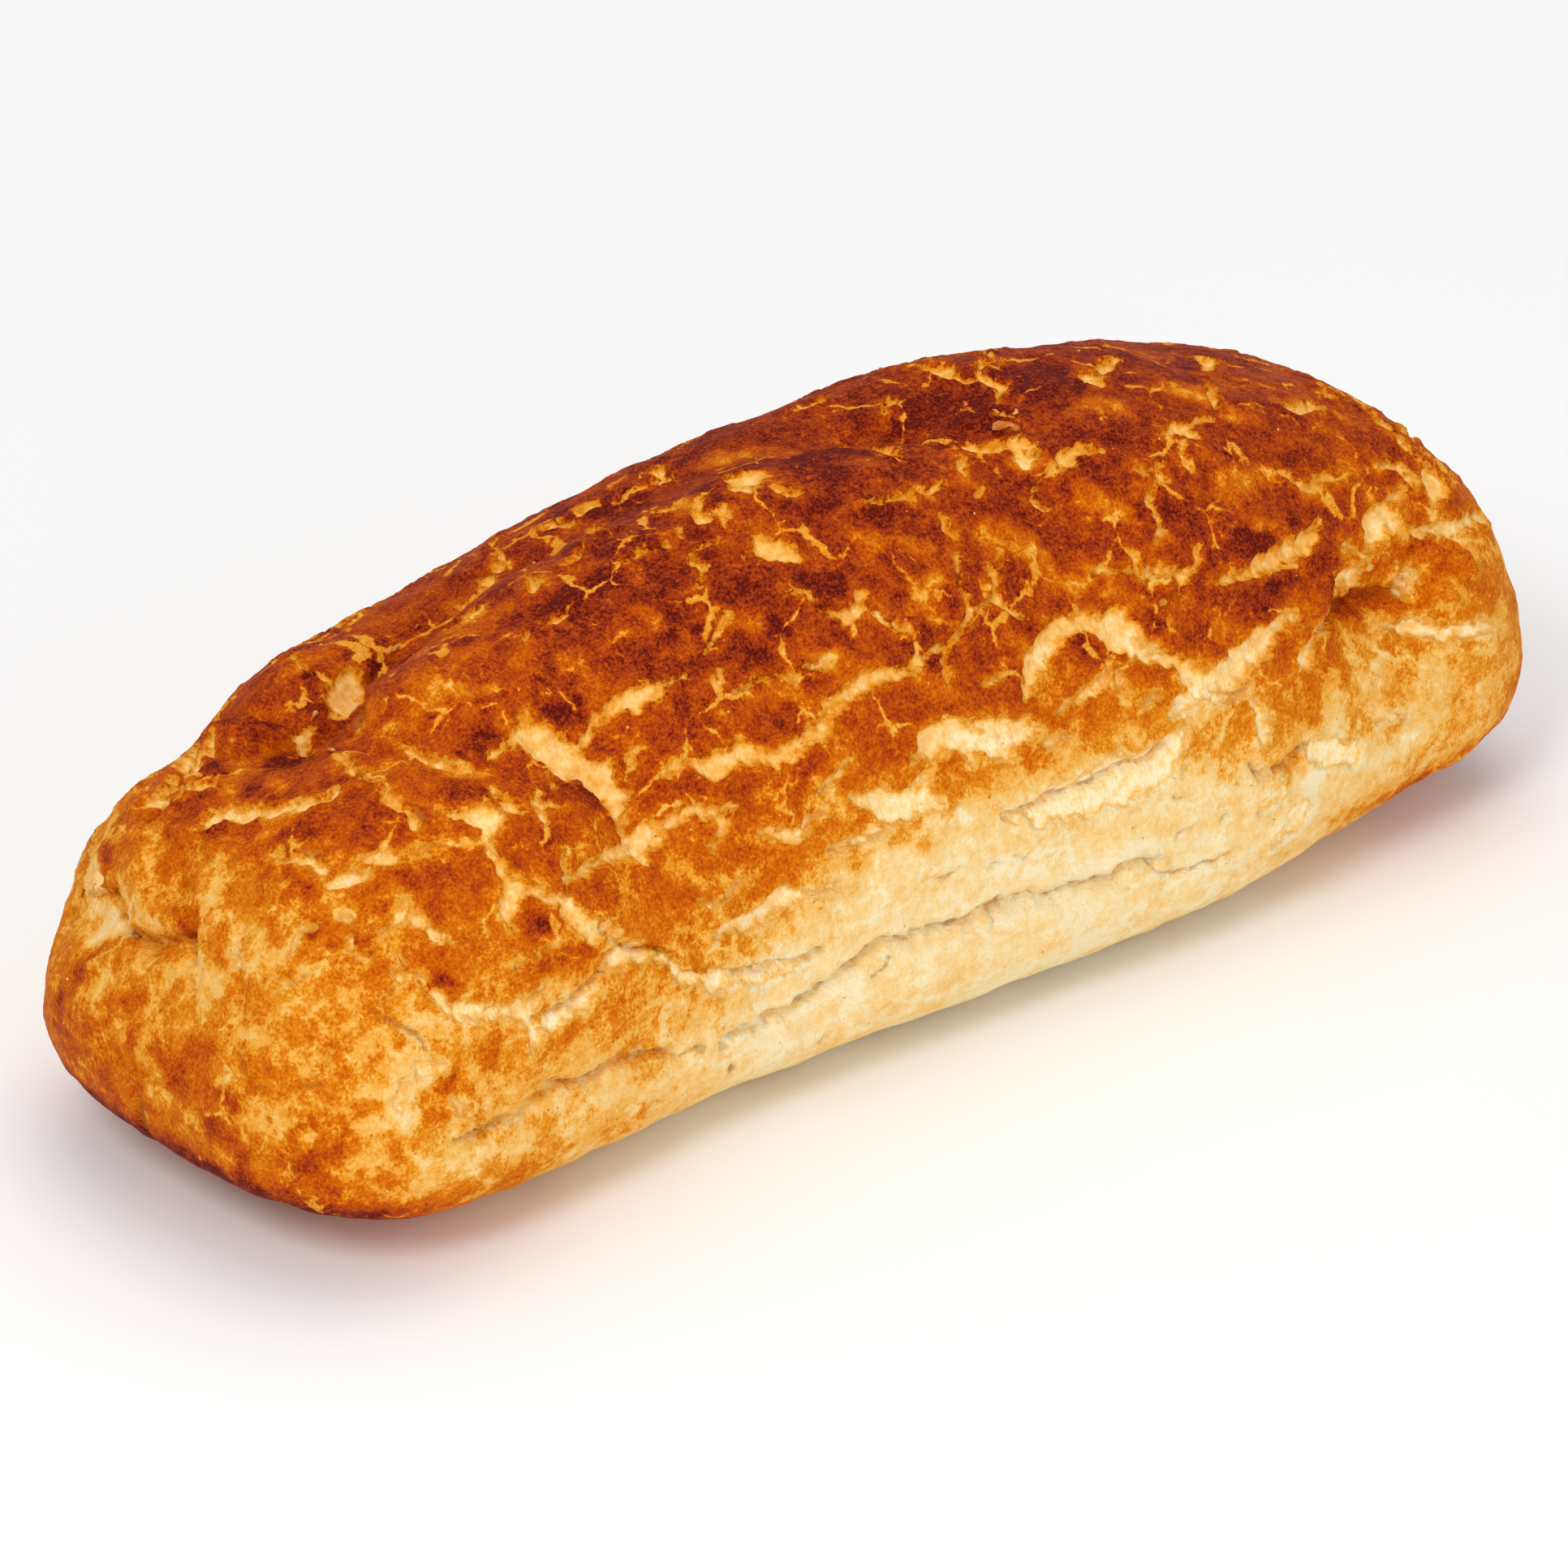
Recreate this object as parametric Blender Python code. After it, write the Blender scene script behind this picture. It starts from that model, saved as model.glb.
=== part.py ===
"""Tiger bloomer: a long, hand-shaped white loaf, whole and uncut.

The loaf is one closed body in metres. X runs along its length, -Y is its front side
and Z is up. The origin lies under the middle of its box, at the height of its flat base.

A smooth form comes first: a domed superellipse that swells and narrows along its length.
The folds of the shaped dough are then pressed into its skin, and the swellings between
the folds are raised.
"""

import bmesh
import bpy
import numpy as np

MM = 0.001

# Overall size
LOAF_LENGTH = 300 * MM
LOAF_WIDTH = 120.2 * MM         # nominal, before the swell along the length
GIRTH_HEIGHT = 21 * MM          # height of the widest outline above the base
DOME_RISE = 71.9 * MM           # from the widest outline up to the crown
FOOT_CURVE = 24.2 * MM          # depth of the curve under the girth, cut off by the base
SKIN_CELL = 4.4 * MM            # size of the skin's faces
RELAX_PASSES = 2                # rounds of smoothing after the folds are pressed in

# Roundness, as superellipse powers: 2 is an ellipse, more is squarer
PLAN_POWER = 3.6
CROSS_POWER = 1.86
LENGTH_POWER = 2.47
FOOT_POWER = 2.67
RIM_LEVEL = 0.62                # share of the dome's rise where the top turns into the sides

# Swell along the length: stations as shares of the half length, and sizes at them
STATIONS = (-1.0, -0.73, -0.43, 0.0, 0.43, 0.73, 1.0)
FRONT_SWELL = (1.10, 0.99, 0.90, 0.96, 0.97, 0.92, 1.09)
BACK_SWELL = (1.05, 0.99, 0.98, 1.01, 1.01, 0.97, 0.97)
HEIGHT_SWELL = (0.97, 0.99, 0.99, 1.04, 1.01, 1.00, 1.10)
WIDTH_TAPER = -0.017            # the far end is slightly narrower
SIDE_BOW = -8.7 * MM            # both ends curve towards the front
LENGTH_TILT = 0.039             # the far end stands slightly higher

# Folds of the dough: how far the groove reaches to each side, and its run over the
# skin as (x, y, z, depth) in millimetres
FOLD_POWER = 1.6                # 1 is a sharp crease, 2 is a soft hollow
FOLDS = {
    "top_valley": (9.5, ((-114, 4, 73, 3), (-104, 9, 77, 11), (-92, 12, 81, 13),
                         (-76, 16, 84, 11), (-58, 17, 87, 8), (-36, 12, 91, 6),
                         (-14, 10, 94, 5), (6, 5, 96, 6), (22, 1, 96, 9),
                         (38, -3, 95, 5), (50, -4, 94, 0))),
    "near_mound": (7.0, ((-102, 48, 46, 1), (-106, 38, 57, 4), (-110, 24, 66, 6),
                         (-109, 8, 72, 5), (-103, -8, 75, 4), (-93, -23, 76, 4),
                         (-83, -28, 76, 4), (-75, -30, 74, 7), (-70, -35, 69, 8),
                         (-67, -40, 63, 6), (-70, -44, 57, 3), (-78, -46, 55, 1))),
    "near_face": (6.0, ((-136, 36, 37, 1), (-139, 27, 42, 4), (-141, 18, 45, 6),
                        (-141, 9, 45, 6.5), (-141, -1, 46, 6), (-142, -9, 45, 4),
                        (-146, -14, 36, 1))),
    "front_groove": (5.5, ((-118, -59, 25, 0.5), (-100, -58, 26, 2), (-80, -57, 25, 1.5),
                           (-60, -55, 22, 2), (-39, -55, 24, 2.5), (-20, -56, 27, 3.2),
                           (0, -57, 27, 3.5), (19, -58, 26, 3.2), (36, -59, 22, 2.5),
                           (56, -59, 20, 1.8), (75, -58, 20, 0.5))),
    "front_upper": (5.0, ((-72, -53, 36, 0.5), (-56, -54, 33, 1.8), (-42, -54, 31, 1.8),
                          (-28, -54, 33, 1.2), (-8, -55, 35, 0.5))),
    "far_fold": (6.0, ((85, -50, 52, 1), (93, -49, 51, 5), (102, -49, 49, 7),
                       (111, -48, 47, 6.5), (115, -44, 54, 4), (114, -39, 62, 1))),
    "saddle": (13.0, ((38, -16, 92, 1), (34, -26, 87, 3), (31, -36, 78, 3.5),
                      (29, -43, 69, 1.5))),
    "far_face": (6.5, ((144, 24, 54, 0.5), (146, 10, 47, 2.5), (147, -5, 44, 3),
                       (147, -18, 48, 0.5))),
    "back_groove": (6.0, ((-72, 58, 31, 0.5), (-45, 60, 28, 2), (-15, 61, 26, 2.8),
                          (20, 61, 27, 2.4), (50, 60, 30, 1.6), (76, 58, 34, 0.5))),
    "back_pull": (10.0, ((-8, 46, 66, 1), (2, 52, 54, 2.5), (4, 58, 42, 1))),
}

# Swellings of the dough between the folds: (x, y, z, reach, rise) in millimetres
SWELLINGS = (
    (-85, -8, 84, 13, 2.0),     # front ridge beside the valley
    (-50, 4, 90, 15, 1.5),
    (-88, 29, 75, 15, 1.5),     # back bulge behind the valley
    (-103, 22, 72, 8, 1.5),     # lip that rolls over the near mound
    (-84, -38, 67, 11, 1.5),    # shoulder of the near mound
    (-147, 4, 30, 18, 2.0),     # lower bulge of the near end
    (-128, -56, 6, 13, 2.2),    # foot of the near end, pressed out at the base
    (-17, -27, 84, 30, 1.5),    # front dome, near half
    (59, -37, 76, 26, 1.0),     # front dome, far half
    (40, -56, 8, 28, 1.4),      # belly low on the front
    (40, 19, 91, 22, 1.0),      # back crest
    (134, -32, 63, 18, -1.0),   # flats of the far end
    (140, -46, 40, 13, -1.5),
    (122, -50, 42, 11, 2.0),    # knuckle beside the far fold
    (-40, 50, 58, 24, 1.5),     # back domes
    (52, 51, 58, 26, 1.5),
)


def shrink(level, power):
    """Share of the girth's reach that is left at a level, 0 at the girth and 1 at the pole."""
    return np.clip(1 - np.abs(level) ** power, 0, 1) ** (1 / power)


def reach_at(level):
    """Lengthwise and sideways reach of the form at a level; below 0 is under the girth."""
    foot = shrink(level, FOOT_POWER)
    along = np.where(level < 0, foot, shrink(level, LENGTH_POWER))
    across = np.where(level < 0, foot, shrink(level, CROSS_POWER))
    return along, across


def height_at(level):
    return GIRTH_HEIGHT + level * np.where(level < 0, FOOT_CURVE, DOME_RISE)


def base_level():
    return -GIRTH_HEIGHT / FOOT_CURVE


def along_stations(values, share):
    """Smooth curve through the values at STATIONS, read at shares of the half length."""
    knots = np.array(STATIONS)
    sizes = np.array(values)
    slopes = np.gradient(sizes, knots)
    left = np.clip(np.searchsorted(knots, share) - 1, 0, len(knots) - 2)
    gap = knots[left + 1] - knots[left]
    t = np.clip((share - knots[left]) / gap, 0, 1)
    ease = t * t * (3 - 2 * t)
    return (sizes[left] * (1 - ease) + sizes[left + 1] * ease
            + slopes[left] * gap * t * (1 - t) ** 2
            - slopes[left + 1] * gap * t * t * (1 - t))


def shape_loaf(along, across, height):
    """Turns unit plan coordinates and a nominal height into a point of the loaf."""
    front = along_stations(FRONT_SWELL, along)
    back = along_stations(BACK_SWELL, along)
    swell = np.where(across < 0, front, back) * (1 + WIDTH_TAPER * along)
    crown = height / (GIRTH_HEIGHT + DOME_RISE)
    rise = along_stations(HEIGHT_SWELL, along) * crown + 1 - crown
    x = along * LOAF_LENGTH / 2
    y = across * swell * LOAF_WIDTH / 2 + SIDE_BOW * along ** 2
    z = height * rise * (1 + LENGTH_TILT * along)
    return np.stack([x, y, z], axis=-1)


def outline(p, q):
    """Pulls a point of the unit square onto rings of the plan's superellipse."""
    ring = np.maximum(np.abs(p), np.abs(q))
    size = (np.abs(p) ** PLAN_POWER + np.abs(q) ** PLAN_POWER) ** (1 / PLAN_POWER)
    pull = np.divide(ring, size, out=np.ones_like(size), where=size > 0)
    return p * pull, q * pull


def level_over(u, v):
    """Level of the dome over a plan point, found by halving."""
    low = np.full_like(u, 0.0)
    high = np.full_like(u, 1.0)
    for _ in range(40):
        middle = (low + high) / 2
        along, across = reach_at(middle)
        inside = ((np.abs(u) / np.maximum(along, 1e-9)) ** PLAN_POWER
                  + (np.abs(v) / np.maximum(across, 1e-9)) ** PLAN_POWER) < 1
        low = np.where(inside, middle, low)
        high = np.where(inside, high, middle)
    return low


def side_levels(count):
    """Levels from the rim of the top down to the base, evenly spaced over the skin."""
    levels = np.linspace(RIM_LEVEL, base_level(), 400)
    across = reach_at(levels)[1] * LOAF_WIDTH / 2
    steps = np.hypot(np.diff(across), np.diff(height_at(levels)))
    run = np.concatenate([[0], np.cumsum(steps)])
    return np.interp(np.linspace(0, run[-1], count + 1), run, levels)


def build_skin():
    """Points and faces of the smooth form: a grid on top, rings down the sides, one base."""
    rim_along, rim_across = reach_at(np.array(RIM_LEVEL))
    columns = 2 * round(LOAF_LENGTH * float(rim_along) / SKIN_CELL / 2)
    rows = 2 * round(LOAF_WIDTH * float(rim_across) / SKIN_CELL / 2)
    drop = GIRTH_HEIGHT + RIM_LEVEL * DOME_RISE
    rings = round(1.15 * drop / SKIN_CELL)

    p, q = np.meshgrid(np.linspace(-1, 1, columns + 1), np.linspace(-1, 1, rows + 1),
                       indexing="ij")
    u, v = outline(p.ravel(), q.ravel())
    level = level_over(u * rim_along, v * rim_across)
    points = [shape_loaf(u * rim_along, v * rim_across, height_at(level))]

    top = np.arange((columns + 1) * (rows + 1)).reshape(columns + 1, rows + 1)
    faces = [(top[i, j], top[i + 1, j], top[i + 1, j + 1], top[i, j + 1])
             for i in range(columns) for j in range(rows)]

    rim = np.concatenate([top[:-1, 0], top[-1, :-1], top[:0:-1, -1], top[0, :0:-1]])
    upper = rim
    for level in side_levels(rings)[1:]:
        along, across = reach_at(level)
        points.append(shape_loaf(u[rim] * along, v[rim] * across,
                                 np.full(len(rim), float(height_at(level)))))
        lower = np.arange(len(rim)) + sum(len(block) for block in points[:-1])
        for k in range(len(rim)):
            n = (k + 1) % len(rim)
            faces.append((upper[k], lower[k], lower[n], upper[n]))
        upper = lower
    faces.append(tuple(upper[::-1]))
    return np.concatenate(points), [tuple(int(i) for i in face) for face in faces]


def smooth_run(points, steps=8):
    """Catmull-Rom curve through a fold's points, its depth included."""
    knots = np.array(points, dtype=float)
    ends = np.vstack([2 * knots[0] - knots[1], knots, 2 * knots[-1] - knots[-2]])
    run = []
    for a, b, c, d in zip(ends, ends[1:], ends[2:], ends[3:]):
        for t in np.arange(steps) / steps:
            run.append(0.5 * (2 * b + (c - a) * t + (2 * a - 5 * b + 4 * c - d) * t ** 2
                              + (3 * b - a - 3 * c + d) * t ** 3))
    run.append(knots[-1])
    return np.array(run)


def fold_relief(points):
    """How far each point of the skin moves out of the dough, folds and swellings together."""
    relief = np.zeros(len(points))
    for reach, knots in FOLDS.values():
        run = smooth_run(knots)
        gap = np.linalg.norm(points[:, None] - run[None, :, :3] * MM, axis=2)
        nearest = gap.argmin(axis=1)
        fade = np.exp(-(gap.min(axis=1) / (reach * MM)) ** FOLD_POWER)
        relief -= run[nearest, 3] * MM * fade
    for x, y, z, reach, rise in SWELLINGS:
        gap = np.linalg.norm(points - np.array([x, y, z]) * MM, axis=1)
        relief += rise * MM * np.exp(-(gap / (reach * MM)) ** 2)
    grip = np.clip(points[:, 2] / (6 * MM), 0, 1)       # the base stays flat
    return relief * grip


def centre_on_base(points):
    low = points.min(axis=0)
    high = points.max(axis=0)
    return points - [(low[0] + high[0]) / 2, (low[1] + high[1]) / 2, low[2]]


def crust_material():
    material = bpy.data.materials.new("tiger_crust")
    material.use_nodes = True
    shader = material.node_tree.nodes["Principled BSDF"]
    shader.inputs["Base Color"].default_value = (0.46, 0.16, 0.03, 1)
    shader.inputs["Roughness"].default_value = 0.72
    shader.inputs["Metallic"].default_value = 0.0
    return material


def relax_skin(mesh):
    """Rounds off the folds' bottoms and evens out the faces; the base keeps its edge."""
    shape = bmesh.new()
    shape.from_mesh(mesh)
    free = [vertex for vertex in shape.verts if vertex.co.z > 0.1 * MM]
    for _ in range(RELAX_PASSES):
        bmesh.ops.smooth_vert(shape, verts=free, factor=0.5,
                              use_axis_x=True, use_axis_y=True, use_axis_z=True)
    shape.to_mesh(mesh)
    shape.free()


def build_loaf():
    """The whole loaf as one closed body."""
    points, faces = build_skin()
    mesh = bpy.data.meshes.new("tiger_loaf")
    mesh.from_pydata(points.tolist(), [], faces)
    normals = np.array([vertex.normal[:] for vertex in mesh.vertices])
    points = points + normals * fold_relief(points)[:, None]
    mesh.vertices.foreach_set("co", points.ravel())
    relax_skin(mesh)
    points = np.array([vertex.co[:] for vertex in mesh.vertices])
    mesh.vertices.foreach_set("co", centre_on_base(points).ravel())
    mesh.update()
    mesh.shade_smooth()
    mesh.materials.append(crust_material())
    loaf = bpy.data.objects.new("tiger_loaf", mesh)
    bpy.context.collection.objects.link(loaf)
    return loaf


def main():
    for old in list(bpy.data.objects):
        bpy.data.objects.remove(old, do_unlink=True)
    build_loaf()


main()
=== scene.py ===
import math
import random

import bmesh
import bpy
import numpy as np
from mathutils import Matrix, Vector, noise
from mathutils.bvhtree import BVHTree


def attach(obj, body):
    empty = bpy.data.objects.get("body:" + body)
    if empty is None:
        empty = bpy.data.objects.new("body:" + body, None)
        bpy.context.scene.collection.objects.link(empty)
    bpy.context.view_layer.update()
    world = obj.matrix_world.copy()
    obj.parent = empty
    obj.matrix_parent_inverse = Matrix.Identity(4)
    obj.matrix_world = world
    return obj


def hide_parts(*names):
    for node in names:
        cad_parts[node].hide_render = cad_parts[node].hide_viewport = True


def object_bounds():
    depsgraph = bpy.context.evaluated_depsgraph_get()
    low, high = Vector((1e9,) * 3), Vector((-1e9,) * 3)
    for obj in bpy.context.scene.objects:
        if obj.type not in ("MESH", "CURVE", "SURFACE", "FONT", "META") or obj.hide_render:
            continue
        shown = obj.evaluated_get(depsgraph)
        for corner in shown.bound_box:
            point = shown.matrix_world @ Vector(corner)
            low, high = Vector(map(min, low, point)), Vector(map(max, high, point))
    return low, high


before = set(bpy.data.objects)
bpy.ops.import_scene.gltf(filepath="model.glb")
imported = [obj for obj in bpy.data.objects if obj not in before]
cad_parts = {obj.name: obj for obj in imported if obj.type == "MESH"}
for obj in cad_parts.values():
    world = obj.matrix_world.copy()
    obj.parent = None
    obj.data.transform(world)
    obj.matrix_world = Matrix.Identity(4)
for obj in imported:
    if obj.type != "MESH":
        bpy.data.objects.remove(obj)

# Tiger bread: one hand-shaped loaf whose baked skin is cracked into brown plates over pale dough.
# Sizes in the dictionaries are millimetres. Strokes on the visible side are drawn as x, y and
# width of one point after another, in pixels of the 1932 x 1932 photograph, and land on the loaf where
# the camera sees it.

mm = 0.001
cadBox = [list(corner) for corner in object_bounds()]
noise.seed_set(5)       # noise_vector starts from the clock otherwise, so each run would differ


# camera

cameraSettings = {
    "place": (-854.9, -1003.3, 717.9),
    "aim": (8.3, 8.8, 22.1),
    "lens": 191.0,
    "sensor": 36.0,
    "farClip": 20.0,        # metres
    "picture": 1932,        # pixels across the photograph
    "pixelSize": 1 / 6.83,  # how much of the loaf one of them spans
}


def buildCamera(settings):
    data = bpy.data.cameras.new("camera")
    data.lens = settings["lens"]
    data.sensor_width = settings["sensor"]
    data.clip_end = settings["farClip"]
    camera = bpy.data.objects.new("camera", data)
    bpy.context.collection.objects.link(camera)
    place = Vector(settings["place"]) * mm
    aim = Vector(settings["aim"]) * mm
    camera.location = place
    camera.rotation_mode = "QUATERNION"
    camera.rotation_quaternion = (aim - place).to_track_quat("-Z", "Y")
    bpy.context.scene.camera = camera
    return camera


camera = buildCamera(cameraSettings)
lookTurn = camera.rotation_quaternion.to_matrix()
print("camera ready")


# node helpers, used by the relief tree and the materials

def addNode(tree, kind, options=None, links=None):
    node = tree.nodes.new(kind)
    for name, value in (options or {}).items():
        setattr(node, name, value)
    for name, value in (links or {}).items():
        socket = node.inputs[name]
        if isinstance(value, bpy.types.NodeSocket):
            tree.links.new(value, socket)
        else:
            socket.default_value = value
    return node


def calc(tree, operation, *values):
    return addNode(tree, "ShaderNodeMath", {"operation": operation}, dict(enumerate(values))).outputs[0]


def calcVector(tree, operation, *values):
    return addNode(tree, "ShaderNodeVectorMath", {"operation": operation},
                   dict(enumerate(values))).outputs[0]


def fade(tree, value, start, end, low=0.0, high=1.0, shape="SMOOTHSTEP"):
    node = addNode(tree, "ShaderNodeMapRange", {"interpolation_type": shape},
                   {"Value": value, "From Min": start, "From Max": end, "To Min": low, "To Max": high})
    return node.outputs["Result"]


def scaled(tree, vector, factor):
    size = factor if isinstance(factor, tuple) else (factor, factor, factor)
    return calcVector(tree, "MULTIPLY", vector, size)


def swing(tree, value, amount, base):
    # adds noise around 0.5, as much as amount, to a base
    return calc(tree, "MULTIPLY_ADD", calc(tree, "SUBTRACT", value, 0.5), amount, base)


def blend(tree, share, first, second):
    return calc(tree, "MULTIPLY_ADD", share, calc(tree, "SUBTRACT", second, first), first)


def noiseNode(tree, vector, links):
    return addNode(tree, "ShaderNodeTexNoise", {"noise_dimensions": "3D"}, {"Vector": vector, **links})


def cloud(tree, vector, size, detail=2.0, rough=0.5, offset=(0, 0, 0)):
    # noise from 0 to 1 around 0.5, with lumps about as large as size
    there = calcVector(tree, "ADD", vector, offset)
    return noiseNode(tree, there, {"Scale": 1.0 / size, "Detail": detail, "Roughness": rough}).outputs[0]


def blendColour(tree, factor, first, second):
    node = addNode(tree, "ShaderNodeMix", {"data_type": "RGBA", "clamp_factor": True})
    for index, value in ((0, factor), (6, first), (7, second)):
        if isinstance(value, bpy.types.NodeSocket):
            tree.links.new(value, node.inputs[index])
        else:
            node.inputs[index].default_value = value
    return node.outputs[2]


def daylight(red, green, blue):
    # a colour as the eye names it, 0 to 255, in the linear light that materials use
    def channel(value):
        share = value / 255
        return share / 12.92 if share < 0.04045 else ((share + 0.055) / 1.055) ** 2.4
    return (channel(red), channel(green), channel(blue), 1.0)


def colourRamp(tree, value, stops):
    node = tree.nodes.new("ShaderNodeValToRGB")
    tree.links.new(value, node.inputs[0])
    ramp = node.color_ramp
    while len(ramp.elements) > 1:
        ramp.elements.remove(ramp.elements[-1])
    ramp.elements[0].position = stops[0][0]
    ramp.elements[0].color = daylight(*stops[0][1])
    for place, colour in stops[1:]:
        ramp.elements.new(place).color = daylight(*colour)
    return node.outputs[0]


# strokes on the visible side

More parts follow.
